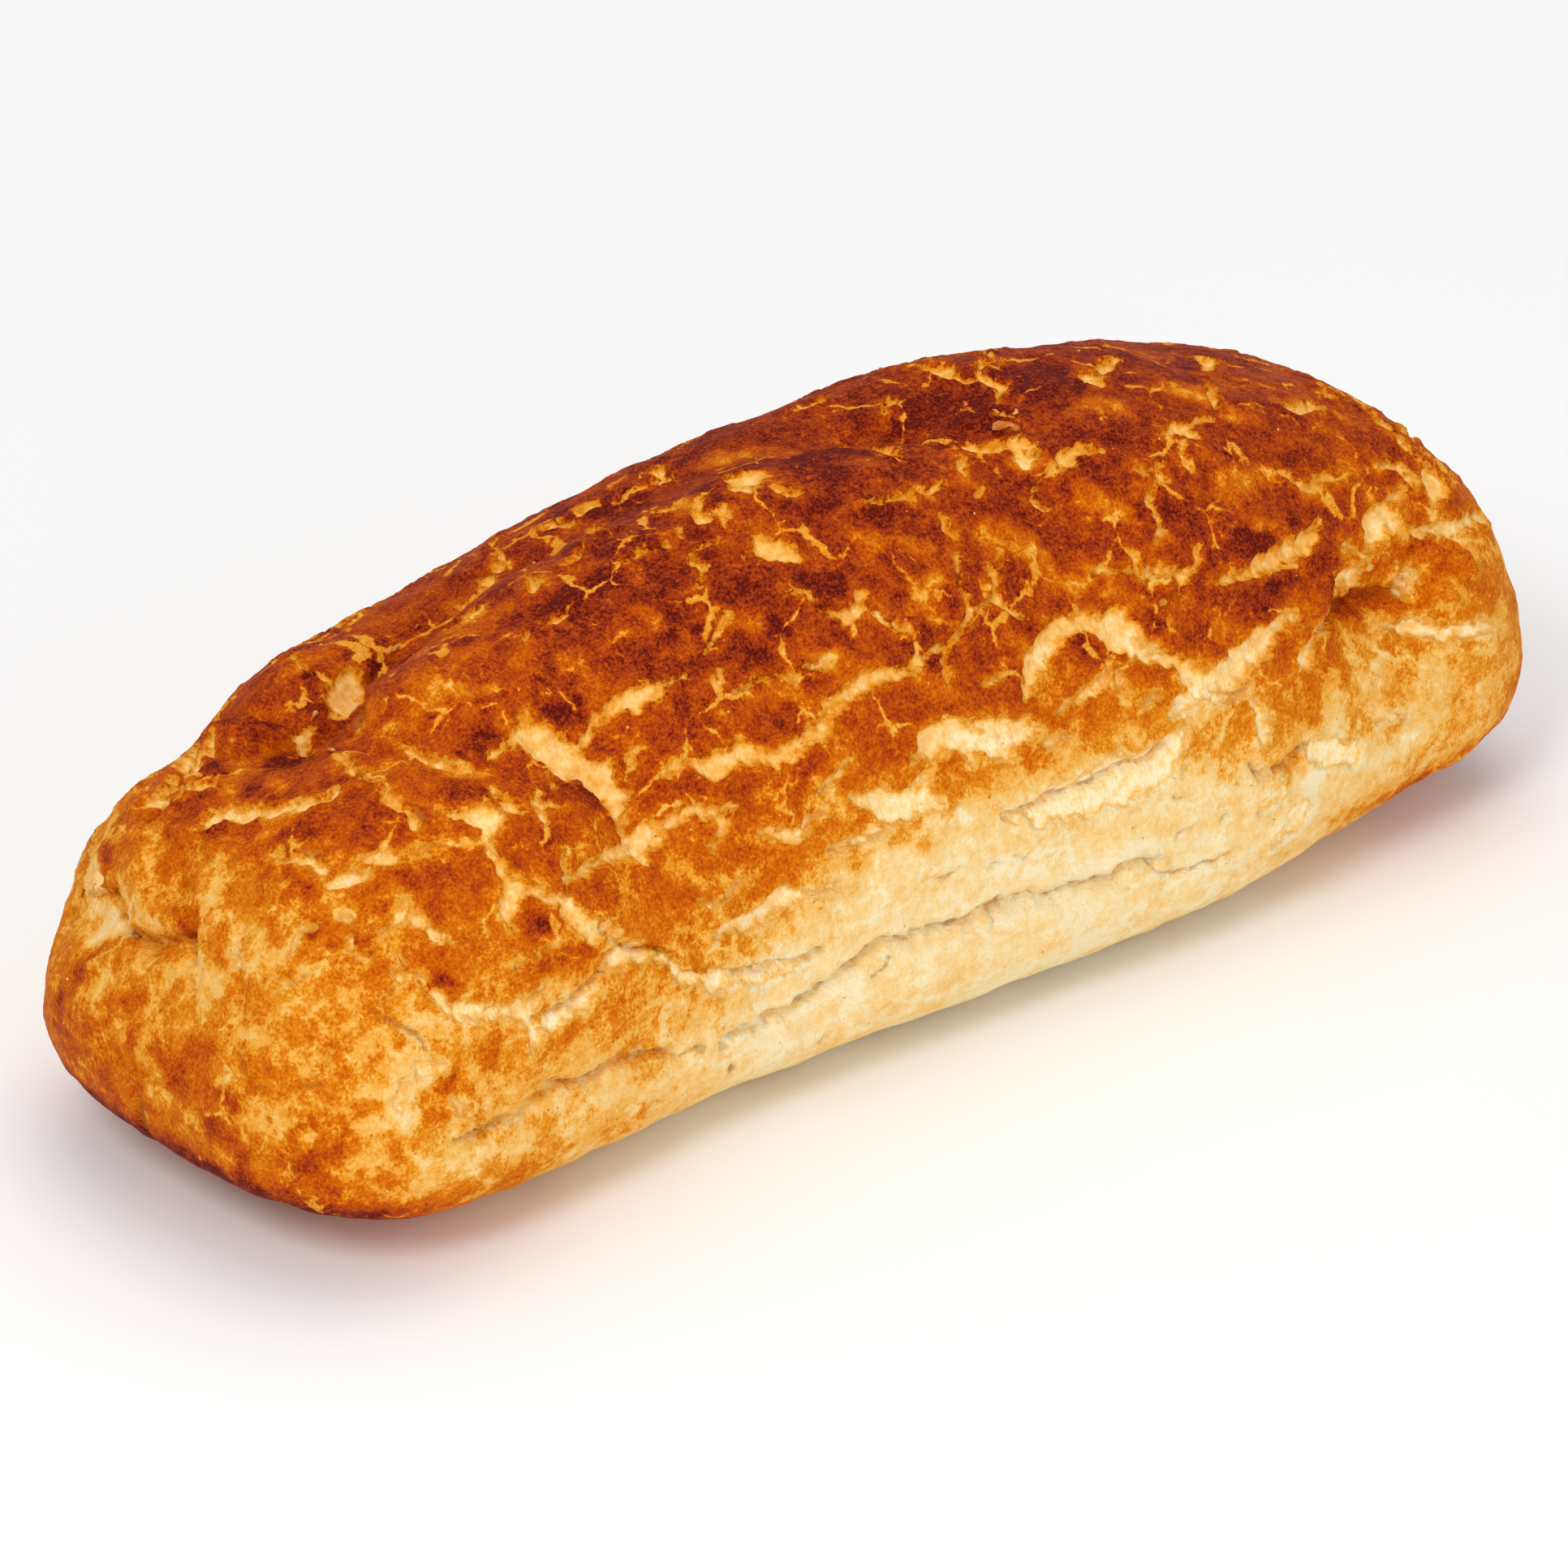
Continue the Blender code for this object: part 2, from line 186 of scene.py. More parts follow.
cracks = {
    "valley": (
        (434, 826, 10, 434, 838, 24, 428, 850, 30, 416, 866, 26, 404, 880, 12),
        (388, 890, 6, 378, 897, 14, 368, 906, 16, 372, 916, 8, 384, 928, 4),
        (590, 708, 8, 597, 714, 14, 606, 711, 10, 602, 722, 4), (606, 702, 5, 612, 696, 11, 620, 689, 5),
        (808, 590, 6, 812, 577, 9, 814, 589, 13, 822, 590, 6),
        (755, 614, 4, 762, 611, 7, 776, 601, 6, 790, 598, 7, 804, 593, 3),
        (708, 634, 5, 718, 627, 11, 728, 619, 9, 732, 616, 4),
        (672, 649, 4, 684, 643, 7, 698, 645, 7, 706, 640, 3), (647, 710, 5, 655, 722, 15, 651, 729, 5),
        (547, 775, 3, 556, 769, 5, 566, 762, 8, 576, 755, 7, 590, 747, 3),
    ),
    "ledge": (
        (1150, 551, 4, 1168, 547, 7, 1186, 548, 9, 1202, 550, 11, 1222, 551, 9, 1242, 548, 8, 1256, 543, 14,
         1268, 548, 12, 1280, 549, 4),
        (1034, 544, 3, 1050, 549, 4, 1068, 549, 7, 1084, 551, 9, 1098, 555, 12, 1112, 560, 4),
        (1248, 528, 10, 1254, 538, 14, 1257, 552, 22, 1264, 567, 20, 1276, 560, 10, 1284, 552, 5),
        (1224, 512, 6, 1236, 514, 4, 1250, 512, 6),
        (1356, 556, 3, 1340, 557, 9, 1320, 560, 16, 1306, 572, 24, 1296, 584, 14, 1288, 592, 5),
    ),
    "crown": (
        (970, 506, 3, 986, 500, 9, 1000, 494, 12, 1012, 489, 8),
        (1088, 513, 4, 1096, 500, 8, 1100, 490, 7, 1108, 482, 3),
        (1108, 451, 2, 1130, 450, 6, 1150, 454, 9, 1166, 455, 10, 1180, 461, 10, 1196, 466, 8, 1210, 463, 9,
         1224, 468, 12, 1236, 476, 13, 1230, 487, 6, 1227, 496, 2),
        (1202, 454, 5, 1212, 447, 8, 1226, 444, 6, 1240, 439, 3),
        (1326, 455, 4, 1338, 458, 9, 1348, 467, 14, 1353, 462, 10, 1358, 450, 12, 1366, 444, 10,
         1384, 447, 4),
        (1474, 440, 4, 1485, 441, 12, 1489, 452, 10, 1484, 458, 4),
        (1488, 468, 4, 1492, 480, 10, 1495, 492, 9, 1497, 502, 3),
        (1570, 575, 5, 1582, 580, 8, 1592, 590, 6, 1604, 600, 7, 1615, 601, 9, 1626, 591, 11, 1638, 584, 11,
         1652, 588, 8, 1666, 590, 3),
        (1580, 500, 4, 1598, 505, 9, 1614, 499, 9, 1638, 503, 3),
        (1618, 474, 4, 1634, 481, 8, 1650, 490, 7, 1662, 498, 3),
        (1680, 501, 3, 1692, 509, 6, 1702, 520, 8, 1716, 529, 5),
        (1722, 536, 4, 1732, 549, 10, 1744, 561, 9, 1756, 571, 5),
        (1698, 571, 5, 1712, 572, 11, 1726, 573, 9, 1736, 586, 8, 1748, 601, 6),
    ),
    "upperFront": (
        (1064, 623, 2, 1082, 620, 5, 1098, 616, 8, 1114, 611, 10, 1124, 605, 7),
        (1124, 598, 3, 1136, 603, 9, 1150, 602, 11, 1164, 596, 6),
        (1184, 562, 5, 1184, 577, 12, 1192, 590, 3), (950, 601, 3, 960, 605, 10, 972, 608, 13, 988, 607, 4),
        (888, 592, 6, 904, 588, 15, 922, 590, 18, 938, 584, 10), (902, 604, 8, 920, 606, 10, 926, 613, 5),
        (920, 648, 4, 928, 660, 7, 940, 672, 19, 956, 676, 27, 974, 681, 17, 988, 686, 4),
        (916, 684, 4, 926, 692, 8, 938, 699, 5),
        (862, 612, 4, 862, 626, 9, 866, 638, 13, 880, 637, 8, 892, 631, 10, 899, 640, 7),
        (796, 626, 3, 814, 625, 6, 830, 623, 6, 844, 619, 3), (722, 652, 4, 734, 655, 8, 744, 649, 4),
        (826, 658, 2, 838, 652, 6, 848, 648, 4),
        (772, 691, 4, 784, 684, 10, 796, 675, 8, 812, 671, 4, 826, 665, 2),
        (846, 683, 7, 856, 674, 6, 870, 670, 5, 888, 664, 3),
        (848, 687, 7, 862, 694, 12, 866, 702, 9, 863, 714, 7, 861, 728, 4),
        (690, 692, 3, 702, 688, 6, 712, 680, 7, 716, 666, 3),
        (708, 734, 3, 700, 745, 4, 690, 757, 6, 679, 763, 10, 675, 770, 5),
        (648, 773, 4, 645, 782, 8, 642, 791, 3),
        (965, 729, 3, 978, 733, 7, 994, 734, 6, 1003, 744, 8, 1018, 752, 11, 1032, 757, 14, 1045, 761, 14,
         1055, 750, 20, 1060, 738, 18, 1056, 728, 6),
        (1072, 759, 4, 1086, 764, 12, 1100, 768, 12, 1114, 773, 8, 1126, 781, 4),
        (1156, 627, 3, 1163, 640, 8, 1170, 652, 12, 1177, 664, 6),
        (1176, 672, 4, 1181, 690, 9, 1183, 706, 4, 1187, 724, 5, 1194, 742, 9, 1200, 756, 12, 1192, 768, 11,
         1182, 782, 8, 1174, 794, 8, 1170, 812, 14, 1167, 830, 10, 1165, 842, 3),
        (1202, 753, 10, 1214, 743, 10, 1228, 738, 15, 1242, 746, 9, 1256, 756, 9, 1272, 764, 8,
         1290, 768, 4),
        (1220, 700, 4, 1228, 712, 14, 1230, 726, 14, 1230, 738, 10),
        (1229, 682, 10, 1233, 696, 9, 1230, 712, 8), (1202, 620, 8, 1206, 610, 9, 1212, 602, 6),
        (1284, 590, 4, 1272, 602, 9, 1272, 616, 11, 1282, 627, 8, 1300, 631, 4),
        (1422, 532, 3, 1438, 532, 12, 1456, 527, 14, 1470, 518, 9, 1490, 514, 8, 1498, 510, 3),
        (1456, 530, 10, 1466, 536, 9, 1480, 541, 3),
        (1453, 540, 9, 1456, 554, 9, 1461, 568, 12, 1465, 582, 5),
        (1398, 581, 3, 1412, 580, 9, 1426, 574, 14, 1432, 588, 13, 1421, 600, 13, 1416, 613, 12,
         1426, 624, 9, 1433, 636, 13, 1436, 648, 12, 1428, 658, 7, 1424, 672, 3),
        (1342, 709, 3, 1352, 702, 7, 1366, 700, 8, 1380, 705, 8, 1392, 703, 7, 1406, 711, 10, 1418, 707, 14,
         1434, 703, 12, 1448, 702, 10, 1462, 704, 10, 1474, 700, 10, 1477, 688, 6, 1478, 673, 3),
        (1452, 706, 8, 1459, 717, 13, 1458, 727, 6, 1446, 734, 7, 1437, 744, 8, 1436, 750, 3),
        (1443, 756, 4, 1443, 766, 7, 1444, 778, 3),
    ),
    "front": (
        (812, 955, 5, 828, 950, 15, 844, 940, 11, 860, 941, 10, 872, 946, 26, 886, 944, 34, 900, 935, 34,
         916, 930, 24, 930, 930, 20, 945, 933, 18, 958, 935, 28, 974, 926, 28, 986, 914, 18, 1000, 904, 18,
         1012, 897, 17, 1020, 884, 18, 1030, 872, 20, 1044, 863, 20, 1054, 853, 26, 1066, 842, 26,
         1080, 836, 24, 1100, 832, 21, 1114, 827, 16, 1126, 817, 14, 1142, 807, 11, 1158, 799, 9,
         1172, 790, 6),
        (1012, 864, 4, 1020, 872, 16, 1026, 880, 12), (1126, 782, 3, 1130, 794, 4, 1132, 804, 8),
        (905, 852, 3, 920, 848, 7, 932, 842, 10, 944, 834, 12, 954, 828, 8, 966, 832, 8, 978, 838, 8,
         986, 828, 10, 1000, 821, 10, 1014, 819, 9, 1022, 812, 7),
        (866, 810, 4, 872, 800, 9, 880, 790, 12, 888, 778, 14, 894, 765, 14, 902, 754, 10),
        (883, 822, 3, 886, 834, 13, 882, 846, 10, 880, 854, 3),
        (600, 938, 3, 606, 930, 5, 620, 921, 12, 634, 913, 16, 645, 905, 22, 656, 903, 28, 668, 914, 36,
         686, 928, 38, 704, 936, 32, 720, 945, 25, 738, 955, 28, 752, 968, 27, 761, 982, 22, 766, 996, 13,
         772, 1008, 6, 778, 1022, 10, 786, 1036, 14),
        (640, 886, 5, 652, 884, 12, 660, 892, 12),
        (712, 930, 20, 722, 908, 18, 730, 892, 15, 735, 878, 14, 731, 868, 5),
        (744, 884, 5, 756, 872, 18, 774, 864, 26, 796, 856, 26, 814, 850, 23, 828, 840, 12, 844, 831, 8,
         852, 826, 3),
        (766, 966, 10, 773, 950, 12, 775, 936, 12, 782, 926, 9, 788, 920, 3),
        (697, 1088, 5, 710, 1081, 13, 725, 1071, 18, 742, 1060, 20, 760, 1051, 22, 776, 1045, 24,
         792, 1036, 24, 806, 1022, 22, 822, 1011, 18, 840, 1003, 16, 860, 998, 16, 880, 999, 18,
         894, 998, 13, 905, 990, 6, 912, 982, 2),
        (788, 1050, 18, 796, 1062, 12, 800, 1072, 4), (816, 1022, 12, 812, 1036, 12, 804, 1046, 4),
        (886, 1004, 12, 892, 1016, 12, 886, 1034, 8, 880, 1046, 3),
        (486, 917, 4, 500, 921, 8, 514, 924, 6, 522, 930, 9, 536, 935, 14, 550, 941, 12, 562, 946, 8,
         576, 944, 7, 590, 941, 7, 602, 937, 3),
        (416, 931, 6, 424, 938, 14, 434, 948, 12, 446, 953, 5, 458, 958, 6, 467, 965, 3),
        (470, 972, 5, 480, 984, 14, 490, 992, 9, 502, 998, 5, 507, 1006, 12, 509, 1016, 10, 506, 1024, 4),
        (538, 998, 3, 556, 1002, 8, 574, 1004, 13, 592, 1006, 22, 604, 1008, 30, 603, 1022, 18,
         596, 1032, 9),
        (597, 992, 14, 602, 980, 6), (606, 972, 3, 616, 984, 14, 628, 994, 20, 642, 996, 10, 650, 1000, 3),
        (672, 954, 4, 677, 965, 9, 679, 977, 4), (654, 984, 3, 664, 990, 14, 677, 991, 17, 692, 993, 6),
        (660, 998, 8, 668, 1006, 10, 673, 1016, 4),
        (450, 1056, 10, 462, 1058, 20, 478, 1057, 20, 492, 1050, 10),
        (504, 1060, 5, 512, 1050, 12, 524, 1042, 8, 544, 1040, 6, 556, 1038, 3),
        (400, 1086, 12, 412, 1083, 24, 428, 1080, 22, 444, 1078, 18, 453, 1084, 6),
        (594, 1030, 5, 602, 1042, 8, 610, 1056, 11, 618, 1070, 16, 628, 1082, 20, 634, 1094, 24,
         631, 1108, 20, 628, 1122, 17, 631, 1136, 13, 636, 1150, 5),
        (640, 1094, 16, 656, 1099, 13, 674, 1105, 11, 690, 1109, 15, 702, 1116, 17, 714, 1130, 20,
         726, 1142, 22, 740, 1144, 24, 752, 1140, 18, 764, 1146, 8),
        (735, 1152, 16, 734, 1160, 12),
        (692, 1048, 3, 694, 1062, 8, 697, 1078, 6, 698, 1092, 5, 696, 1106, 6),
        (744, 1197, 6, 756, 1190, 14, 766, 1177, 24, 782, 1172, 26, 800, 1179, 17, 818, 1180, 12,
         832, 1186, 11, 836, 1200, 20, 850, 1206, 22, 870, 1210, 17, 892, 1208, 18, 910, 1205, 21,
         928, 1203, 24, 946, 1197, 18, 966, 1192, 15, 986, 1186, 12, 1004, 1178, 6),
        (876, 1152, 4, 892, 1146, 13, 908, 1140, 18, 926, 1139, 24, 942, 1130, 22, 956, 1116, 20,
         970, 1106, 24, 986, 1102, 17, 1002, 1103, 11, 1018, 1100, 9, 1032, 1093, 8, 1044, 1086, 3),
        (858, 1108, 4, 876, 1113, 9, 892, 1108, 9, 906, 1098, 9, 916, 1089, 4),
        (1020, 1049, 4, 1034, 1045, 12, 1050, 1038, 14, 1066, 1035, 14, 1080, 1032, 12, 1092, 1027, 4),
        (934, 1029, 4, 948, 1025, 7, 962, 1026, 10, 976, 1032, 17, 988, 1022, 14, 998, 1008, 13,
         1012, 1001, 10, 1020, 997, 4),
        (1043, 981, 6, 1058, 983, 12, 1074, 985, 22, 1090, 990, 36, 1106, 994, 44, 1122, 990, 42,
         1136, 984, 32, 1150, 994, 14, 1166, 990, 8),
        (1128, 972, 16, 1136, 962, 16, 1144, 950, 6),
        (1004, 970, 6, 1018, 965, 13, 1030, 957, 12, 1040, 945, 9, 1046, 934, 3),
    ),
    "farFront": (
        (1300, 880, 5, 1312, 872, 8, 1324, 863, 12, 1338, 854, 14, 1352, 848, 15, 1361, 838, 16,
         1366, 824, 14, 1370, 812, 12),
        (1262, 862, 6, 1268, 848, 18, 1270, 834, 21, 1276, 820, 25, 1286, 802, 26, 1298, 784, 28,
         1312, 770, 30, 1330, 764, 20, 1348, 764, 22, 1366, 768, 28, 1382, 784, 40, 1398, 802, 26,
         1416, 810, 21, 1436, 812, 17, 1452, 815, 14, 1464, 824, 17, 1476, 836, 26, 1492, 842, 27,
         1508, 836, 26, 1524, 824, 27, 1538, 811, 28, 1552, 797, 29, 1566, 783, 28, 1580, 770, 24,
         1592, 763, 15, 1606, 766, 7),
        (1312, 757, 6, 1326, 756, 10, 1336, 762, 8), (1376, 826, 8, 1380, 838, 12, 1378, 850, 6),
        (1476, 850, 18, 1468, 860, 20, 1454, 866, 19, 1446, 877, 13, 1440, 886, 4),
        (1434, 857, 10, 1422, 859, 12, 1412, 866, 9, 1402, 868, 3),
        (1498, 857, 12, 1510, 862, 16, 1522, 858, 14, 1536, 848, 8),
        (1208, 843, 3, 1222, 839, 7, 1236, 832, 8, 1252, 826, 4),
        (1164, 884, 4, 1170, 893, 10, 1184, 893, 14, 1206, 892, 16, 1228, 897, 26, 1246, 902, 34,
         1262, 902, 32, 1276, 900, 20, 1290, 895, 6),
        (1124, 943, 3, 1134, 932, 17, 1146, 918, 34, 1162, 906, 38, 1182, 906, 36, 1202, 912, 38,
         1222, 914, 32, 1238, 922, 20, 1242, 932, 8),
        (1196, 928, 16, 1204, 938, 14, 1214, 934, 8),
        (1288, 915, 6, 1300, 914, 14, 1314, 912, 11, 1326, 908, 4),
        (1238, 1006, 6, 1256, 1005, 14, 1278, 1002, 22, 1302, 996, 34, 1328, 988, 42, 1354, 977, 46,
         1380, 968, 48, 1404, 960, 40, 1424, 948, 36, 1440, 930, 26, 1452, 913, 18, 1460, 900, 8),
        (1360, 944, 5, 1374, 936, 12, 1386, 933, 8),
        (1498, 718, 4, 1510, 715, 10, 1526, 711, 11, 1540, 703, 16, 1556, 697, 24, 1574, 693, 27,
         1590, 681, 32, 1606, 671, 28, 1617, 662, 18, 1624, 650, 8, 1625, 638, 4),
        (1648, 679, 4, 1662, 676, 7, 1676, 680, 8, 1688, 690, 7, 1692, 698, 3),
        (1686, 684, 6, 1690, 666, 19, 1695, 651, 26, 1702, 638, 30, 1712, 634, 32, 1720, 646, 20,
         1726, 654, 8),
        (1712, 622, 18, 1722, 611, 12, 1732, 603, 5),
        (1736, 656, 8, 1750, 655, 14, 1768, 654, 16, 1784, 651, 20, 1798, 648, 25, 1810, 638, 16,
         1822, 634, 12, 1834, 631, 5),
        (1798, 660, 16, 1808, 674, 12, 1816, 686, 9, 1820, 696, 4),
        (1756, 580, 6, 1766, 586, 16, 1772, 597, 22, 1768, 608, 18, 1764, 621, 9, 1762, 630, 3),
        (1640, 704, 6, 1643, 720, 14, 1645, 735, 14, 1642, 751, 4),
        (1650, 726, 10, 1660, 715, 20, 1671, 714, 20, 1676, 706, 8),
        (1740, 702, 4, 1735, 716, 10, 1730, 730, 11, 1724, 736, 5),
        (1700, 776, 7, 1714, 773, 15, 1730, 771, 20, 1746, 772, 16, 1760, 777, 13, 1772, 784, 14,
         1780, 788, 20, 1794, 779, 22, 1812, 777, 23, 1828, 773, 24, 1842, 770, 14),
        (1604, 798, 8, 1612, 806, 16, 1612, 818, 12, 1608, 826, 4),
        (1612, 792, 8, 1620, 781, 14, 1632, 773, 12, 1640, 765, 5),
        (1545, 858, 6, 1550, 872, 9, 1556, 886, 12, 1561, 900, 13, 1562, 914, 5),
        (1612, 920, 6, 1624, 926, 26, 1640, 930, 36, 1656, 931, 36, 1668, 930, 24, 1676, 920, 6),
        (1582, 955, 4, 1572, 970, 11, 1562, 986, 12, 1554, 998, 5),
        (1620, 993, 6, 1606, 1002, 16, 1592, 1014, 16, 1580, 1030, 15, 1572, 1043, 6),
        (1698, 890, 4, 1708, 883, 9, 1722, 881, 6, 1736, 879, 3),
    ),
    "lowNear": (
        (516, 1196, 5, 526, 1207, 10, 538, 1219, 11, 548, 1233, 13, 558, 1246, 18, 574, 1249, 18,
         594, 1249, 17, 616, 1250, 16, 636, 1248, 20, 652, 1244, 24, 664, 1236, 12, 658, 1226, 12,
         672, 1219, 10, 684, 1212, 5),
        (656, 1252, 20, 664, 1266, 26, 660, 1280, 18, 656, 1296, 12, 655, 1312, 5),
        (676, 1264, 18, 692, 1252, 22, 708, 1241, 20, 724, 1232, 20, 735, 1219, 15, 731, 1206, 6),
        (628, 1186, 4, 640, 1190, 11, 654, 1187, 5), (660, 1182, 2, 672, 1171, 5, 686, 1162, 3),
        (536, 1152, 3, 548, 1156, 11, 564, 1157, 11, 578, 1154, 4),
        (514, 1326, 3, 516, 1318, 12, 530, 1314, 20, 546, 1315, 14, 558, 1318, 5),
        (558, 1354, 3, 568, 1364, 11, 578, 1374, 14, 584, 1383, 4),
        (498, 1328, 5, 496, 1344, 10, 494, 1360, 10, 495, 1374, 4),
    ),
    "nearEnd": (
        (498, 1104, 8, 500, 1118, 14, 490, 1132, 14, 478, 1143, 10, 470, 1158, 8, 464, 1172, 8,
         452, 1182, 9, 440, 1180, 7),
        (505, 1122, 12, 520, 1136, 12, 540, 1148, 10, 560, 1153, 8),
        (415, 1128, 5, 432, 1128, 6, 428, 1140, 5),
        (436, 1150, 6, 434, 1160, 6, 430, 1172, 6, 436, 1180, 6),
        (372, 1148, 7, 362, 1160, 7, 354, 1172, 6, 352, 1182, 5), (390, 1142, 6, 378, 1150, 6),
        (284, 1170, 5, 290, 1180, 6, 284, 1190, 5),
        (480, 1196, 8, 492, 1206, 10, 498, 1186, 8, 494, 1172, 8),
        (395, 1192, 7, 380, 1196, 6, 368, 1206, 6, 352, 1215, 7),
        (262, 905, 8, 256, 918, 8, 246, 930, 8, 235, 948, 8, 222, 960, 7, 212, 985, 6),
        (228, 966, 8, 246, 968, 10, 262, 960, 9, 270, 972, 6),
        (178, 990, 6, 192, 986, 7, 202, 966, 6, 208, 952, 5),
        (252, 1014, 6, 260, 1006, 20, 276, 1001, 20, 294, 1000, 17, 312, 999, 15, 330, 998, 15,
         346, 996, 14, 364, 992, 14, 380, 990, 12, 396, 984, 10, 408, 978, 8, 420, 968, 4),
        (338, 1038, 5, 338, 1048, 12, 348, 1055, 11, 366, 1059, 12, 384, 1063, 14, 398, 1070, 12),
        (164, 998, 3, 176, 990, 7, 188, 986, 6, 198, 990, 3), (112, 1074, 6, 116, 1082, 16, 112, 1090, 10),
    ),
}

